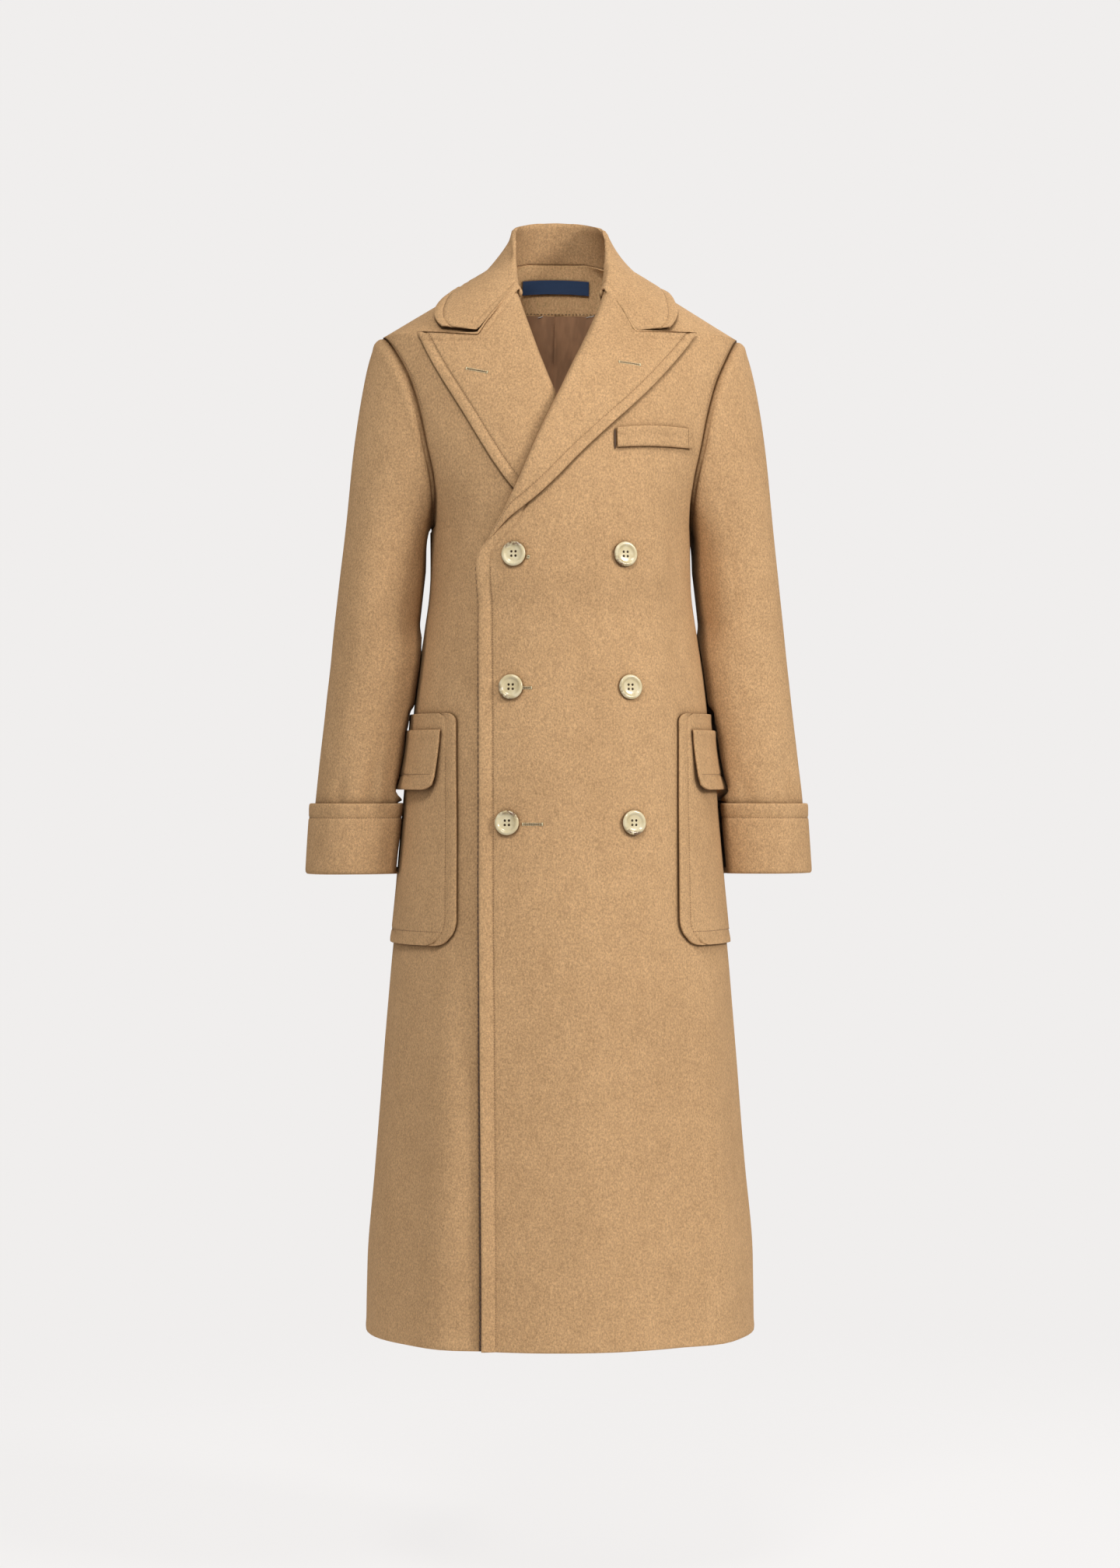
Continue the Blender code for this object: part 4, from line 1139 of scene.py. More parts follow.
def breast_welt(name, material):
    edge = Edge("rim", WELT_STITCH)
    points = []
    normals = []
    width = WELT_X[1] - WELT_X[0]
    for down in places(WELT_HEIGHT, 10, RIM, RIM):
        outer = []
        aims = []
        for across in places(width, 34, edge, edge):
            u = across / width
            x = WELT_X[0] - WELT_FORWARD + WELT_STRETCH * across
            row = WELT_TOP - down + WELT_RISE * math.sin(math.pi * u) + WELT_TILT * u
            angle = angle_at(x, row)
            normal = form_normal(angle, row)
            gape = WELT_GAPE * (1 - down / WELT_HEIGHT) * math.sin(math.pi * u)
            outer.append(form_point(angle, row) + normal * (front_lift(x, row) + LAYER + gape))
            aims.append(normal)
        points.append(outer)
        normals.append(aims)
    return shell(name, points, normals, WALL, (RIM, RIM, edge, edge), material)


# Inside of the back
PLEAT_X = 0.016
PLEAT_OUT = 0.0032
PLEAT_LINES = (-0.0061, -0.0029, -0.0012, -0.0007, 0.0003, 0.0011, 0.0031, 0.0061)
TUCKS = (0.030, 0.041, 0.052, 0.062)
TUCK_WIDTH = 0.0022
TUCK_HEIGHT = 0.0007


def inside_panel(name, low, high, step, reach, off, thickness, material, relief=None):
    """Facing or lining on the inside of the back, from one armhole's side to the other."""
    points = []
    normals = []
    for row in even(low, high, round((high - low) / step)):
        half = math.pi / 2 + panel_start(row, True) - reach / half_width(row)
        outer = []
        aims = []
        fine = [-math.pi / 2 + d / half_width(row) for d in PLEAT_LINES]
        for angle in sorted(even(-math.pi / 2 - half, -math.pi / 2 + half, 90) + fine):
            point, normal = surface(1, angle, row)
            rise = relief(point.x, row) if relief else 0.0
            outer.append(point - normal * (off + rise))
            aims.append(normal)
        points.append(outer)
        normals.append(aims)
    return shell(name, points, normals, thickness, (PLAIN, PLAIN, PLAIN, PLAIN), material, loose=0.6)


def lining_relief(x, row):
    """Centre pleat, a few fine tucks at one side near the top, and slow waves."""
    pleat = PLEAT_OUT * ease(x, -0.0008, 0.0004) * math.exp(-max(x, 0.0) / PLEAT_X)
    top = ease(row, -0.110, -0.050)
    tucks = sum(math.exp(-((x - t) / TUCK_WIDTH) ** 2) for t in TUCKS) * TUCK_HEIGHT * top
    waves = 0.0009 * math.sin(x * 95 + 4 * math.sin(row * 22)) * ease(row, -0.32, -0.10)
    return pleat + tucks + waves


def neck_label(name, material):
    """Plain woven label on the neck facing, arched a little."""
    points = []
    normals = []
    for row in even(LABEL_ROWS[0], LABEL_ROWS[-1], 8):
        half = math.pi / 2 - angle_at(LABEL_HALF_WIDTH, row)
        outer = []
        aims = []
        for u in even(-1.0, 1.0, 40):
            point, normal = surface(1, -math.pi / 2 + half * u, row - 0.0012 * u * u)
            outer.append(point - normal * LABEL_DEPTH)
            aims.append(normal)
        points.append(outer)
        normals.append(aims)
    return shell(name, points, normals, LABEL_WALL, (PLAIN, PLAIN, PLAIN, PLAIN), material, loose=0.6)


# Buttons
BUTTON_TURNS = 64
HOLE_TURNS = 20
HOLE_RADIUS = 0.00140
HOLE_SPACING = 0.00235
HOLE_PLACES = ((-1, -1), (-1, 1), (1, -1), (1, 1))
BUTTON_SECTION = (
    (0.00, 0.50), (0.30, 0.50), (0.55, 0.54), (0.64, 0.62), (0.69, 0.78), (0.74, 0.93), (0.80, 1.00), (0.87, 0.99),
    (0.93, 0.92), (0.98, 0.76), (1.00, 0.56), (0.97, 0.34), (0.88, 0.14), (0.62, 0.02), (0.00, 0.02),
)


def horn_button(name, place, aim, material):
    """Turned button with a rim ring, a dished centre and four drilled holes."""
    bm = bmesh.new()
    verts = [bm.verts.new((x * BUTTON_RADIUS, 0, z * BUTTON_THICK)) for x, z in BUTTON_SECTION]
    for a, b in zip(verts, verts[1:]):
        bm.edges.new((a, b))
    bmesh.ops.spin(bm, geom=bm.verts[:] + bm.edges[:], cent=(0, 0, 0), axis=(0, 0, 1), angle=2 * math.pi,
                   steps=BUTTON_TURNS, use_merge=True)
    bmesh.ops.remove_doubles(bm, verts=bm.verts[:], dist=WELD)
    bmesh.ops.recalc_face_normals(bm, faces=bm.faces[:])
    piece = placed(name, mesh_from(name, bm))
    bm = bmesh.new()
    for sx, sy in HOLE_PLACES:
        made = bmesh.ops.create_cone(bm, cap_ends=True, segments=HOLE_TURNS, radius1=HOLE_RADIUS,
                                     radius2=HOLE_RADIUS, depth=3 * BUTTON_THICK)
        bmesh.ops.translate(bm, verts=made["verts"], vec=(sx * HOLE_SPACING, sy * HOLE_SPACING, 0))
    cutter = placed(name + "_holes", mesh_from(name + "_holes", bm))
    piece.modifiers.new("holes", "BOOLEAN").object = cutter
    bpy.context.view_layer.update()
    depsgraph = bpy.context.evaluated_depsgraph_get()
    solid = bpy.data.meshes.new_from_object(piece.evaluated_get(depsgraph))
    piece.modifiers.clear()
    piece.data = solid
    bpy.data.objects.remove(cutter)
    turn = aim.to_track_quat("Z", "Y").to_matrix().to_4x4()
    turn.translation = place
    solid.transform(turn)
    smoothed(solid)
    solid.set_sharp_from_angle(angle=SHARP)
    solid.materials.clear()
    solid.materials.append(material)
    return piece, turn


TOOTH_LENGTH = 0.0017
TOOTH_START = 0.0002
TOOTH_LIFT = (0.0005, 0.0003)
SLIT_LIFT = 0.0006
SLIT_RADIUS = 0.00022
BAR_RADIUS = 0.0005
BAR_SHARE = 1.1


def buttonhole(thread, slit, start, end, normal, teeth):
    """Worked buttonhole: close stitches down both sides of a slit, a dark rod of painted shade in the slit, and a bar
    at each end.
    """
    start = Vector(start)
    end = Vector(end)
    along = (end - start).normalized()
    across = along.cross(normal).normalized()
    for number in range(teeth):
        middle = start.lerp(end, (number + 0.5) / teeth)
        for way in (-1, 1):
            near = middle + across * way * TOOTH_START
            far = middle + across * way * TOOTH_LENGTH
            thread.bit(near + normal * TOOTH_LIFT[0], far + normal * TOOTH_LIFT[1], normal)
    lift = normal * SLIT_LIFT
    slit.bit(start + lift, end + lift, normal, radius=SLIT_RADIUS)
    for spot in (start, end):
        half = across * TOOTH_LENGTH * BAR_SHARE
        thread.bit(spot - half + lift, spot + half + lift, normal, radius=BAR_RADIUS)


# Materials
def feed(tree, node, inputs):
    """Sets inputs of a node to plain values, or links them to other nodes' outputs."""
    for key, value in inputs.items():
        if isinstance(value, bpy.types.NodeSocket):
            tree.links.new(value, node.inputs[key])
        else:
            node.inputs[key].default_value = value


def add_node(tree, kind, output, inputs, **settings):
    """Adds a node and gives one of its outputs."""
    node = tree.nodes.new("ShaderNode" + kind)
    for key, value in settings.items():
        setattr(node, key, value)
    feed(tree, node, inputs)
    return node.outputs[output]


def scaled(colour, factor):
    return tuple(min(c * factor, 1.0) for c in colour)


class Look:
    """A material and the nodes laid in it one after another."""

    def __init__(self, name, stretch=(1, 1, 1)):
        self.material = bpy.data.materials.new(name)
        self.material.use_nodes = True
        self.tree = self.material.node_tree
        self.where = self.add("Mapping", "Vector", {"Vector": self.add("TexCoord", "Object", {}), "Scale": stretch})

    def add(self, kind, output, inputs, **settings):
        return add_node(self.tree, kind, output, inputs, **settings)

    def noise(self, scale, detail, rough, where=None, distortion=0.0):
        inputs = {"Vector": where or self.where, "Scale": scale, "Detail": detail, "Roughness": rough}
        return self.add("TexNoise", "Fac", {**inputs, "Distortion": distortion})

    def ramp(self, share, first, *stops):
        node = self.tree.nodes.new("ShaderNodeValToRGB")
        elements = node.color_ramp.elements
        for element, (place, colour) in zip(elements, (first, stops[-1])):
            element.position = place
            element.color = (*colour, 1)
        for place, colour in stops[:-1]:
            elements.new(place).color = (*colour, 1)
        feed(self.tree, node, {"Fac": share})
        return node.outputs["Color"]

    def mixed(self, first, second, share=1.0, way="MULTIPLY"):
        return self.add("MixRGB", "Color", {"Fac": share, "Color1": first, "Color2": second}, blend_type=way)

    def product(self, first, second):
        return self.add("Math", "Value", {0: first, 1: second}, operation="MULTIPLY")

    def vector(self, way, first, second=(0, 0, 0), output="Vector"):
        return self.add("VectorMath", output, {0: first, 1: second}, operation=way)

    def within(self, value, low, high):
        return self.add("MapRange", "Result", {"Value": value, "From Min": low, "From Max": high})

    def bump(self, height, strength, distance):
        return self.add("Bump", "Normal", {"Height": height, "Strength": strength, "Distance": distance})

    def painted_crevice_shade(self, colour):
        """Painted shade: the cloth's colour is darkened by ambient occlusion deep in a seam or right under an edge."""
        near = self.add("AmbientOcclusion", "AO", {"Distance": CREVICE_REACH}, samples=CREVICE_SAMPLES)
        return self.mixed(colour, self.ramp(near, (0.40, CREVICE_SHADE), (0.87, (1.0, 1.0, 1.0))))

    def finish(self, inputs):
        feed(self.tree, self.tree.nodes["Principled BSDF"], inputs)
        return self.material


# Painted shade in seams and under edges: how far the occlusion looks, its samples and the darkest painted shade
CREVICE_REACH = 0.013
CREVICE_SAMPLES = 6
CREVICE_SHADE = (0.30, 0.25, 0.20)


def melton(name, colour):
    """Milled and brushed wool: fibre speckle, slow mottling, short fuzzy nap and a soft sheen."""
    look = Look(name, (1.0, 1.0, 0.72))
    grain = look.ramp(look.noise(560.0, 5.0, 0.80), (0.34, scaled(colour, 0.66)), (0.50, colour),
                      (0.66, scaled(colour, 1.34)))
    mottle = look.ramp(look.noise(60.0, 3.0, 0.6), (0.30, (0.93, 0.92, 0.90)), (0.70, (1.05, 1.05, 1.05)))
    slow = look.ramp(look.noise(9.0, 2.0, 0.5), (0.35, (0.96, 0.95, 0.94)), (0.65, (1.03, 1.03, 1.03)))
    tone = look.mixed(look.mixed(grain, mottle, 0.8), slow)
    nap = look.add("Math", "Value", {0: look.noise(520.0, 5.0, 0.80), 1: look.noise(170.0, 3.0, 0.6)}, operation="ADD")
    # The base colour carries painted shade in seams and under edges.
    return look.finish({
        "Base Color": look.painted_crevice_shade(tone), "Normal": look.bump(nap, 0.75, 0.0011), "Roughness": 0.95,
        "Specular IOR Level": 0.15, "Sheen Weight": 0.22, "Sheen Roughness": 0.45,
        "Sheen Tint": (*scaled(colour, 1.5), 1),
    })


def satin(name, colour):
    """Smooth lining with fine vertical threads."""
    look = Look(name, (1.0, 1.0, 0.06))
    tone = look.ramp(look.noise(120.0, 2.0, 0.5), (0.35, scaled(colour, 0.86)), (0.65, scaled(colour, 1.14)))
    threads = look.bump(look.noise(1500.0, 2.0, 0.5), 0.25, 0.0002)
    # The base colour carries painted shade in seams and under edges.
    return look.finish({"Base Color": look.painted_crevice_shade(tone), "Normal": threads, "Roughness": 0.42, "Sheen Weight": 0.1})


def ribbon(name, colour):
    """Plain woven ribbon of the label."""
    look = Look(name)
    weave = look.add("TexWave", "Fac", {"Vector": look.where, "Scale": 320.0, "Distortion": 0.6}, bands_direction="Z")
    tone = look.ramp(weave, (0.2, scaled(colour, 0.85)), (0.8, scaled(colour, 1.2)))
    return look.finish({"Base Color": tone, "Normal": look.bump(weave, 0.4, 0.0002), "Roughness": 0.6})


def thread_and_shade_look(name, colour):
    """Twisted thread; the same look also makes the dark rods of painted shade."""
    look = Look(name)
    tone = look.ramp(look.noise(2200.0, 2.0, 0.5), (0.3, scaled(colour, 0.85)), (0.7, scaled(colour, 1.1)))
    return look.finish({"Base Color": tone, "Roughness": 0.7})


def horn(name, place, turn, seed, marks_dark):
    """Polished pale horn with streaks, and brown marks where the rim was cut nearer the skin of the horn."""
    look = Look(name)
    moved = look.vector("SUBTRACT", look.where, tuple(place))
    shifted = look.vector("ADD", moved, (seed, seed * 0.7, 0))
    tone = look.ramp(look.noise(75.0, 3.0, 0.5, shifted, 0.6), (0.30, (0.60, 0.49, 0.27)), (0.50, (0.68, 0.58, 0.36)),
                     (0.72, (0.76, 0.68, 0.47)))
    ring = look.within(look.vector("LENGTH", moved, output="Value"), 0.0092, 0.0108)
    aim = (math.cos(turn), 0.0, math.sin(turn))
    side = look.within(look.vector("DOT_PRODUCT", moved, aim, "Value"), 0.0045, 0.0105)
    blot = look.within(look.noise(330.0, 3.0, 0.6, shifted), 0.38, 0.60)
    dark = look.product(look.product(look.product(ring, side), blot), marks_dark)
    brown = look.mixed(tone, (0.12, 0.045, 0.018, 1), dark, "MIX")
    return look.finish({"Base Color": brown, "Roughness": 0.24, "Coat Weight": 0.4, "Coat Roughness": 0.12})


CLOTH = (0.560, 0.350, 0.180)
cloth = melton("cloth_melton", CLOTH)
# Painted light: the same melton made brighter for the neck facing, standing in for light that reaches the inside of
# the neck
cloth_painted_lit_inside = melton("cloth_melton_painted_lit", scaled(CLOTH, 1.55))
lining_cloth = satin("lining_satin", (0.46, 0.255, 0.140))
label_ribbon = ribbon("label_ribbon", (0.026, 0.062, 0.150))
thread_cloth = thread_and_shade_look("thread_camel", scaled(CLOTH, 0.50))
thread_pale = thread_and_shade_look("thread_pale", (0.74, 0.66, 0.42))
# Dark brown of painted shade, for rods in the buttonhole slits, at the welt's open end and under the front's edge
painted_shade_dark = thread_and_shade_look("painted_shade_slit", (0.10, 0.055, 0.030))
thread_white = thread_and_shade_look("thread_white", (0.80, 0.78, 0.72))

stitching = ThreadAndShadeRods("topstitching", thread_cloth)
hole_thread = ThreadAndShadeRods("buttonhole_thread", thread_pale)
# Dark rods of painted shade in the buttonhole slits and at the welt's open end
painted_slit_shade = ThreadAndShadeRods("buttonhole_painted_slit_shade", painted_shade_dark)
basting = ThreadAndShadeRods("lining_thread", thread_white)
# Dark rod of painted shadow under the top front's free edge
painted_edge_shadow = ThreadAndShadeRods("front_edge_painted_shadow", painted_shade_dark)
shank = ThreadAndShadeRods("button_thread", thread_and_shade_look("thread_shank", (0.055, 0.028, 0.014)))
tacking = ThreadAndShadeRods("lining_ladder_thread", thread_and_shade_look("thread_brown", (0.30, 0.19, 0.11)))

# Folds, listed one by one
SKIRT_FOLDS = (
    Fold(0.150, -0.790, 0.165, -1.170, 0.020, 0.0045, -1),
    Fold(0.075, -0.860, 0.085, -1.175, 0.024, -0.0033, -1),
    Fold(0.020, -0.700, 0.012, -1.170, 0.026, 0.0024, -1),
    Fold(-0.125, -0.800, -0.135, -1.170, 0.022, 0.0045, -1),
    Fold(-0.165, -0.830, -0.178, -1.170, 0.016, -0.0033, -1),
    Fold(0.112, -0.640, 0.106, -0.780, 0.018, -0.0018, -1),
    Fold(0.030, -0.420, 0.062, -0.520, 0.016, 0.0018, -1),
    Fold(-0.040, -0.360, 0.010, -0.410, 0.014, 0.0015, -1),
    Fold(0.085, -0.330, 0.125, -0.420, 0.013, -0.0018, -1),
    Fold(-0.105, -0.350, -0.130, -0.450, 0.013, -0.0018, -1),
)
BACK_FOLDS = (
    Fold(0.120, -0.760, 0.140, -1.170, 0.022, 0.0051, 1),
    Fold(0.070, -0.880, 0.078, -1.175, 0.018, -0.0039, 1),
    Fold(-0.110, -0.720, -0.128, -1.170, 0.023, 0.0048, 1),
    Fold(-0.060, -0.820, -0.070, -1.170, 0.017, -0.0036, 1),
    Fold(0.090, -0.110, 0.145, -0.220, 0.016, 0.0024, 1),
    Fold(-0.095, -0.120, -0.142, -0.230, 0.015, 0.0023, 1),
    Fold(0.050, -0.360, 0.115, -0.440, 0.014, -0.0021, 1),
    Fold(-0.040, -0.350, -0.108, -0.425, 0.015, -0.0018, 1),
    Fold(-0.020, -0.470, 0.040, -0.500, 0.014, 0.0015, 1),
)
SLEEVE_FOLDS_LEFT = (
    Fold(0.248, -0.535, 0.262, -0.605, 0.0075, -0.0050, -1),
    Fold(0.234, -0.552, 0.240, -0.605, 0.0060, -0.0034, -1),
    Fold(0.260, -0.550, 0.270, -0.605, 0.0060, 0.0028, -1),
    Fold(0.200, -0.556, 0.207, -0.605, 0.0060, -0.0024, -1),
    Fold(0.205, -0.385, 0.235, -0.415, 0.0100, -0.0016, -1),
    Fold(0.190, -0.430, 0.222, -0.455, 0.0090, -0.0013, -1),
    Fold(0.178, -0.330, 0.170, -0.400, 0.0090, 0.0014, -1),
    Fold(0.215, -0.140, 0.230, -0.260, 0.0150, 0.0014, -1),
    Fold(0.225, -0.390, 0.250, -0.440, 0.0110, -0.0018, 1),
    Fold(0.200, -0.350, 0.235, -0.385, 0.0100, -0.0015, 1),
    Fold(0.245, -0.540, 0.255, -0.585, 0.0065, -0.0020, 1),
)
SLEEVE_FOLDS_RIGHT = (
    Fold(-0.208, -0.548, -0.218, -0.605, 0.0075, -0.0044, -1),
    Fold(-0.244, -0.556, -0.250, -0.605, 0.0065, -0.0030, -1),
    Fold(-0.200, -0.556, -0.206, -0.605, 0.0060, 0.0024, -1),
    Fold(-0.208, -0.395, -0.238, -0.430, 0.0100, -0.0015, -1),
    Fold(-0.185, -0.350, -0.180, -0.420, 0.0090, 0.0013, -1),
    Fold(-0.200, -0.470, -0.232, -0.490, 0.0085, -0.0011, -1),
    Fold(-0.218, -0.150, -0.228, -0.250, 0.0150, 0.0012, -1),
    Fold(-0.230, -0.400, -0.254, -0.455, 0.0110, -0.0017, 1),
    Fold(-0.205, -0.345, -0.238, -0.372, 0.0100, -0.0014, 1),
    Fold(-0.240, -0.545, -0.250, -0.586, 0.0060, -0.0021, 1),
)

shells = {}


def tie(piece, slot, *nodes):
    """Parents a piece to the root body and hides the solids it stands for; slot is not used."""
    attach(piece, "root")
    if nodes:
        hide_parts(*nodes)


def keep(made, *nodes, slot="cloth"):
    tie(made.piece, slot, *nodes)
    shells[made.piece.name] = made
    return made


def sew(made, edge, by, skip=(0, None), closed=False):
    """Topstitching on a piece's stitched line by its start or end column, or by its top or bottom row."""
    index = marks(edge).index(edge.stitch)
    line = -1 - index if by in ("end", "bottom") else index
    place = (line, slice(*skip)) if by in ("top", "bottom") else (slice(*skip), line)
    points = list(made.outer[place])
    aims = list(made.normals[place])
    if closed:
        points.append(points[0])
        aims.append(aims[0])
    stitching.line(points, aims)


# Painted shadow: a dark rod behind the top front's free edge, standing for the shaded gap under it: how far behind and
# beside the edge, and its half width
GAP_BEHIND = 0.0042
GAP_ASIDE = Vector((0.0014, 0, 0))
GAP_RADIUS = 0.0017

# Fronts and backs
front_edge = Edge("rim", FRONT_STITCH)
arm_edge = Edge("arm", None)
for label, side, lift in (("left", 1, front_lift), ("right", -1, no_lift)):
    made = body_panel("cloth_front_" + label, side, False, lift, (RIM, JOIN, arm_edge, front_edge), cloth, SKIRT_FOLDS,
                      lip=side > 0)
    keep(made, "front_" + label)
    top = sum(1 for row in panel_rows() if row < EDGE_STITCH_TOP)
    if side > 0:
        sew(made, front_edge, "end", (5, top))
        # Painted shadow under the free edge, laid as a row of dark rods
        aims = made.normals[2:top, -1]
        gap = [Vector(p) - Vector(n) * GAP_BEHIND - GAP_ASIDE for p, n in zip(made.outer[2:top, -1], aims)]
        for first, second, aim in zip(gap, gap[1:], aims):
            painted_edge_shadow.bit(first, second, aim, radius=GAP_RADIUS)
    made = body_panel("cloth_back_" + label, side, True, no_lift, (RIM, JOIN, arm_edge, JOIN), cloth, BACK_FOLDS)
    keep(made, "back_" + label)

# Sleeves and cuffs
for label, side, folds in (("left", 1, SLEEVE_FOLDS_LEFT), ("right", -1, SLEEVE_FOLDS_RIGHT)):
    keep(sleeve("cloth_sleeve_" + label, side, cloth, folds), "sleeve_top_" + label, "sleeve_under_" + label)
    made = keep(cuff("cloth_cuff_" + label, side, cloth), "cuff_" + label)
    sew(made, Edge("rim", CUFF_STITCH), "top", closed=True)

# Collar and lapels
made = keep(collar("cloth_collar", cloth), "collar_leaf", "collar_stand")
sew(made, Edge("rim", COLLAR_STITCH), "start", (8, -8))
for shape, lift, name in ((LAPEL_LEFT, front_lift, "lapel_left"), (LAPEL_RIGHT, no_lift, "lapel_right")):
    made = keep(lapel("cloth_" + name, shape, lift, cloth), name)
    sew(made, Edge("rim", LAPEL_STITCH), "start", (8, -6))
    sew(made, Edge("rim", LAPEL_STITCH), "top", (8, 24))

# Pockets, flaps and welt
pocket_edge = Edge("rim", POCKET_STITCH)
flap_edge = Edge("rim", FLAP_STITCH)
pocket_front_x = POCKET_FRONT_X - POCKET_FORWARD
for label, side in (("left", 1), ("right", -1)):
    made = patch("cloth_pocket_" + label, side, POCKET_TOP, POCKET_BOTTOM, pocket_front_x, POCKET_BACK, POCKET_CORNER,
                 LAYER, 0.0, (RIM, pocket_edge, pocket_edge, pocket_edge), cloth, bow=POCKET_BOW,
                 top_corner=POCKET_TOP_CORNER)
    keep(made, "pocket_" + label)
    sew(made, pocket_edge, "start", (16, -8))
    sew(made, pocket_edge, "bottom", (8, -8))
    sew(made, pocket_edge, "end", (0, -8))
    made = patch("cloth_flap_" + label, side, FLAP_TOP, FLAP_BOTTOM, FLAP_FRONT_X, FLAP_BACK, FLAP_CORNER, 2 * LAYER,
                 FLAP_FLARE + FLAP_LOOSE, (RIM, flap_edge, RIM, RIM), cloth, curl=FLAP_CURL, slant=FLAP_SLANT)
    keep(made, "flap_" + label)
    sew(made, flap_edge, "bottom", (5, -5))
keep(breast_welt("cloth_breast_welt", cloth), "breast_welt")

# Inside of the back
# The neck facing wears the painted-light copy of the melton.
keep(inside_panel("cloth_neck_facing", -0.044, -0.001, 0.003, 0.012, WALL + CLEAR, FACING_WALL, cloth_painted_lit_inside),
     "neck_facing")
keep(inside_panel("lining_back_satin", -0.300, -0.044, 0.004, 0.020, WALL + 2 * CLEAR, LINING_WALL, lining_cloth,
                  lining_relief), "lining_back", slot="lining")
keep(neck_label("neck_label_ribbon", label_ribbon), "neck_label", slot="label")

# Buttons: where the horn's brown mark lies, its seed and how dark it is
BUTTON_LOOKS = {
    "right_1": (100, 0.3, 0.9), "left_1": (235, 1.1, 0.9), "right_2": (225, 2.7, 0.9),
    "left_2": (205, 3.6, 0.6), "right_3": (75, 4.2, 0.9), "left_3": (265, 5.5, 0.9),
}
SHANK_SHOWN = (0.0002, 0.0012)
SHANK_RADIUS = 0.0011
for number, row in enumerate(BUTTONS, 1):
    for label_side, x in (("right", row.right_x), ("left", row.left_x)):
        angle = angle_at(x, row.z)
        aim = form_normal(angle, row.z)
        place = form_point(angle, row.z) + aim * (front_lift(x, row.z) + CLEAR)
        degrees, seed, dark = BUTTON_LOOKS[f"{label_side}_{number}"]
        look = horn(f"horn_{label_side}_{number}", place, math.radians(degrees), seed, dark)
        piece, turn = horn_button(f"horn_button_{label_side}_{number}", place, aim, look)
        tie(piece, "horn", f"button_{label_side}_{number}")
        for sx, sy in HOLE_PLACES:
            low, high = [turn @ Vector((sx * HOLE_SPACING, sy * HOLE_SPACING, z)) for z in SHANK_SHOWN]
            shank.bit(low, high, turn.to_3x3() @ Vector((1, 0, 0)), radius=SHANK_RADIUS, sunk=0.0)


def on_coat(made, x, z):
    """Point and direction of a shell's face nearest to a place in x and z."""
    flat = made.outer[:, :, (0, 2)]
    far = np.linalg.norm(flat - np.array((x, z)), axis=2) + (made.normals[:, :, 1] > 0.2) * 1.0
    i, j = np.unravel_index(np.argmin(far), far.shape)
    return Vector(made.outer[i, j]), Vector(made.normals[i, j]).normalized()


# Buttonholes: shell, first end and second end in x and z, number of stitches on a side
Hole = namedtuple("Hole", "shell start end teeth")
HOLES = (
    Hole("cloth_lapel_right", (-0.1090, -0.1190), (-0.0850, -0.1235), 17),
    Hole("cloth_lapel_left", (0.0560, -0.1115), (0.0800, -0.1145), 17),
    Hole("cloth_front_left", (-0.0500, -0.4670), (-0.0385, -0.4665), 8),
    Hole("cloth_front_left", (-0.0560, -0.6140), (-0.0345, -0.6135), 15),
    Hole("cloth_front_left", (-0.0450, -0.3240), (-0.0425, -0.3238), 3),
)
for hole in HOLES:
    first, aim = on_coat(shells[hole.shell], *hole.start)
    second, _ = on_coat(shells[hole.shell], *hole.end)
    wanted = Vector((hole.end[0] - hole.start[0], 0, hole.end[1] - hole.start[1]))
    run = second - first
    buttonhole(hole_thread, painted_slit_shade, first, first + run.normalized() * wanted.length, aim, hole.teeth)

# Painted shadow: a dark rod at the breast welt's open end, where the lifted end leaves a gap in shade
open_x = WELT_X[0] - 0.0032
first, aim = on_coat(shells["cloth_front_left"], open_x, WELT_TOP - 0.0015)
second, _ = on_coat(shells["cloth_front_left"], open_x, WELT_TOP - WELT_HEIGHT + 0.001)
painted_slit_shade.bit(first + aim * 0.0010, second + aim * 0.0010, aim, radius=0.0010)

# Stitches beside the upper armholes
for label_side in ("left", "right"):
    made = shells["cloth_front_" + label_side]
    heights = made.outer[:, 0, 2]
    upper = [i for i in range(len(heights)) if -0.165 < heights[i] < SHOULDER_TIP]
    path = []
    aims = []
    for i in upper:
        run = np.concatenate([[0], np.cumsum(np.linalg.norm(np.diff(made.outer[i], axis=0), axis=1))])
        path.append([np.interp(ARMHOLE_STITCH, run, made.outer[i][:, k]) for k in range(3)])
        aims.append(made.normals[i][4])
    stitching.line(path, aims)

# Collar seam inside the neck, lining hem and pleat
NECK_SEAM_ROW = -0.0008
LINING_TOP_ROW = -0.0425
LADDER_TOP = -0.050
LADDER_STEP = 0.0026


def inside_line(reach, row, depth):
    """Path round the inside of the back, and the directions into the neck."""
    spots = [surface(1, angle, row) for angle in even(-math.pi / 2 - reach, -math.pi / 2 + reach, 60)]
    return [point - normal * depth for point, normal in spots], [-normal for _, normal in spots]


stitching.line(*inside_line(1.1, NECK_SEAM_ROW, WALL + 0.0006))
tacking.line(*inside_line(1.0, LINING_TOP_ROW, WALL + CLEAR + FACING_WALL + 0.0004), pitch=0.0040, length=0.0022)
for number in range(15):
    point, normal = surface(1, -math.pi / 2 - 0.010, LADDER_TOP - LADDER_STEP * number)
    first = point - normal * (WALL + 2 * CLEAR + PLEAT_OUT + 0.0006)
    tacking.bit(first, first + Vector((LADDER_STEP, 0, 0)), -normal, radius=0.00028)
for x, row in ((-0.020, -0.0455), (0.036, -0.0450), (0.0405, -0.0445)):
    point, normal = surface(1, angle_at(x, row, True), row)
    first = point - normal * (WALL + CLEAR + FACING_WALL + 0.0012)
    basting.bit(first, first + Vector((0.006, 0, 0.0022)), -normal, radius=0.0004)

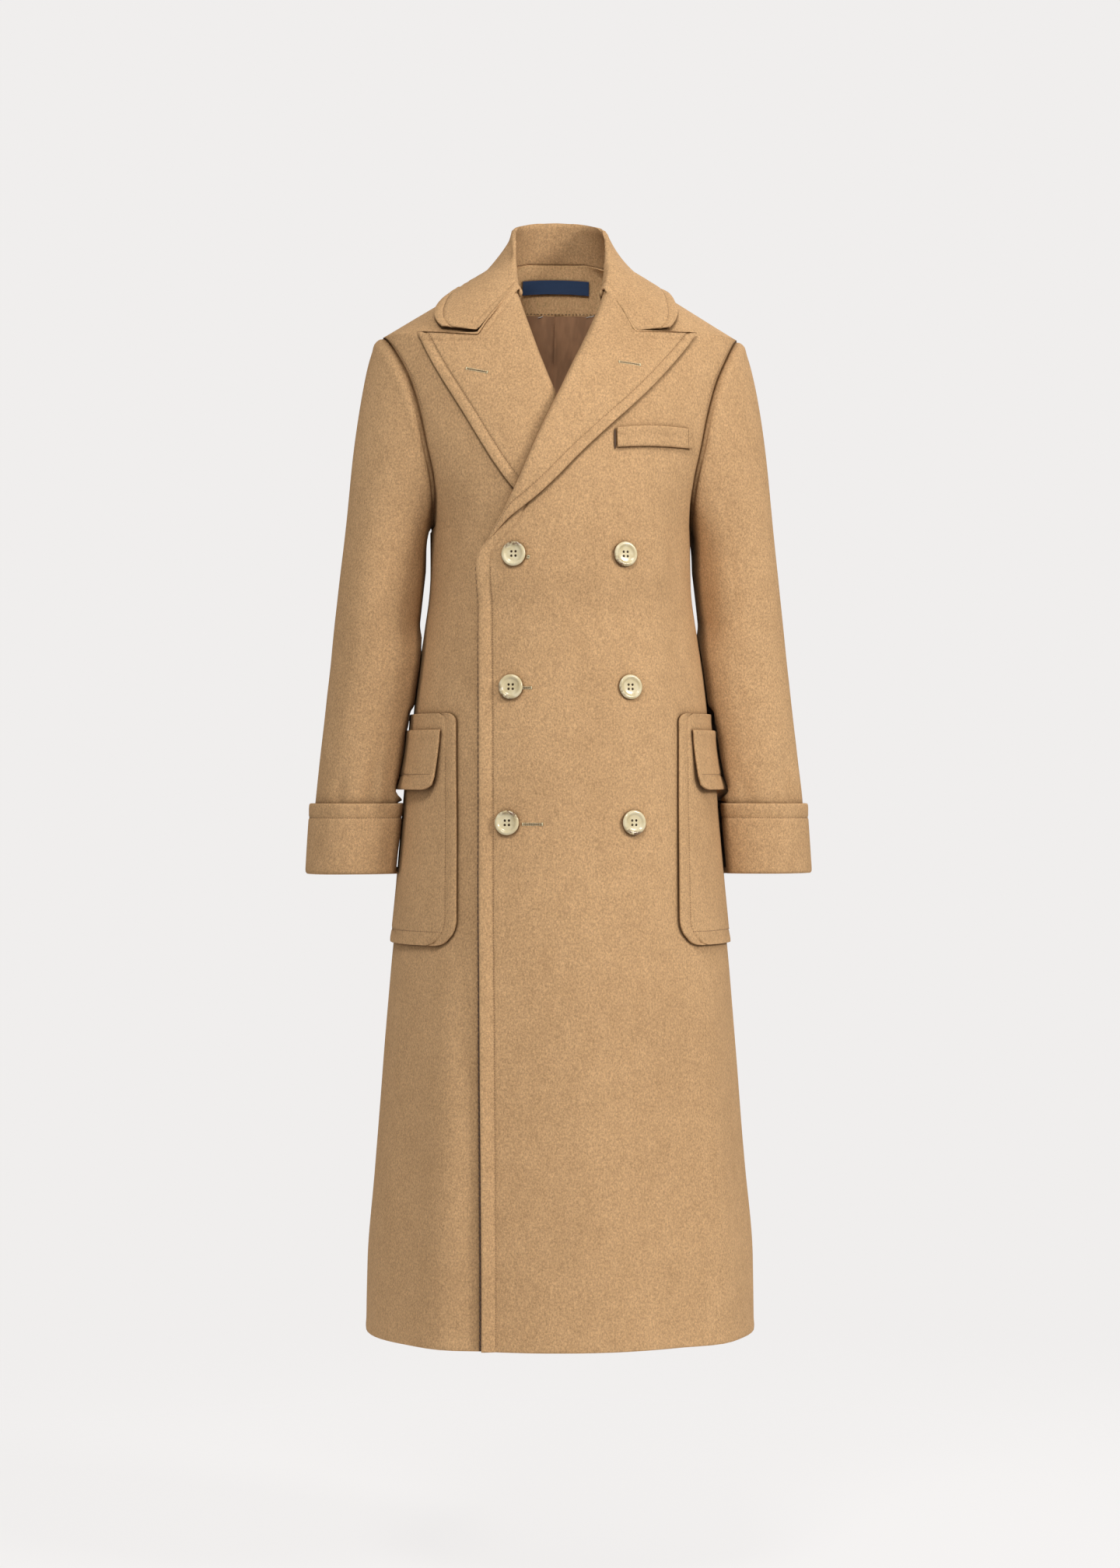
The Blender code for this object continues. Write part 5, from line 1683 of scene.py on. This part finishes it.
# Flat size a piece of cloth is cut to: width, length and area of what shows, and what it is sewn to; no piece is given
# one here
Cut = namedtuple("Cut", "width length area held rests_on")

# Seam allowance turned in at the top of each gorge, which closes the fold's open end
TUCK_IN = 0.0033
for label_side, side in (("left", 1), ("right", -1)):
    fold, _, _ = collar_station(len(COLLAR) - 1, side)
    bm = bmesh.new()
    bmesh.ops.create_uvsphere(bm, u_segments=24, v_segments=16, radius=TUCK_IN)
    bmesh.ops.scale(bm, verts=bm.verts[:], vec=(1.0, 1.0, 1.3))
    bmesh.ops.translate(bm, verts=bm.verts[:], vec=fold + Vector((0, 0.0030, -0.0008)))
    mesh = mesh_from("cloth_gorge_tuck_" + label_side, bm)
    smoothed(mesh)
    mesh.materials.append(cloth)
    tie(placed("cloth_gorge_tuck_" + label_side, mesh), "cloth")

for thread in (stitching, basting, tacking, shank, hole_thread, painted_slit_shade, painted_edge_shadow):
    tie(thread.made(), "cloth")

# Camera, lights and floor
CAMERA_TURN = math.radians(-4)
CAMERA_FAR = 4.2
CAMERA_HEIGHT = -0.571
camera = placed("camera", bpy.data.cameras.new("camera"))
camera.data.lens = 86.2
camera.data.sensor_width = 36
camera.location = (CAMERA_FAR * math.sin(CAMERA_TURN), -CAMERA_FAR * math.cos(CAMERA_TURN), CAMERA_HEIGHT)
camera.rotation_euler = (math.pi / 2, 0, CAMERA_TURN)
bpy.context.scene.camera = camera

Light = namedtuple("Light", "name place size power colour")
LIGHTS = (
    Light("key", (2.5, -2.2, 0.9), 0.8, 72, (1.0, 0.985, 0.965)),
    Light("fill", (-2.4, -2.4, 0.0), 2.4, 3, (1.0, 0.99, 0.98)),
    Light("top", (-0.6, -2.6, 2.2), 1.0, 72, (1.0, 0.99, 0.975)),
    Light("back", (0.8, 2.6, 1.2), 2.0, 46, (1.0, 1.0, 1.0)),
)
AIM = Vector((0, 0, -0.55))
for light in LIGHTS:
    data = bpy.data.lights.new(light.name, "AREA")
    data.energy = light.power
    data.size = light.size
    data.color = light.colour
    lamp = placed(light.name, data)
    lamp.location = light.place
    lamp.rotation_euler = (Vector(light.place) - AIM).to_track_quat("Z", "Y").to_euler()

WORLD_LIGHT = 0.36
BACKGROUND = (0.871, 0.855, 0.847, 1)
world = bpy.data.worlds.new("studio")
bpy.context.scene.world = world
world.use_nodes = True
backdrop = world.node_tree.nodes["Background"]
ray = add_node(world.node_tree, "LightPath", "Is Camera Ray", {})
strength = add_node(world.node_tree, "MapRange", "Result", {"Value": ray, "To Min": WORLD_LIGHT, "To Max": 1.0})
feed(world.node_tree, backdrop, {"Color": BACKGROUND, "Strength": strength})
bpy.context.scene.view_settings.view_transform = "Standard"

FLOOR_Z = -1.46
FLOOR_FADE = (0.7, 2.1)
bm = bmesh.new()
bmesh.ops.create_circle(bm, cap_ends=True, segments=96, radius=2.2)
bmesh.ops.translate(bm, verts=bm.verts[:], vec=(0, 0, FLOOR_Z))
floor = placed("floor", mesh_from("floor", bm))
look = Look("floor_paper")
far = look.vector("LENGTH", look.vector("MULTIPLY", look.where, (1, 1, 0)), output="Value")
fade = look.add("MapRange", "Result", {"Value": far, "From Min": FLOOR_FADE[0], "From Max": FLOOR_FADE[1],
                                       "To Min": 1.0, "To Max": 0.0}, interpolation_type="SMOOTHSTEP")
floor.data.materials.append(look.finish({
    "Base Color": (0.10, 0.098, 0.097, 1), "Emission Color": BACKGROUND, "Emission Strength": 0.88, "Roughness": 0.9,
    "Alpha": fade,
}))
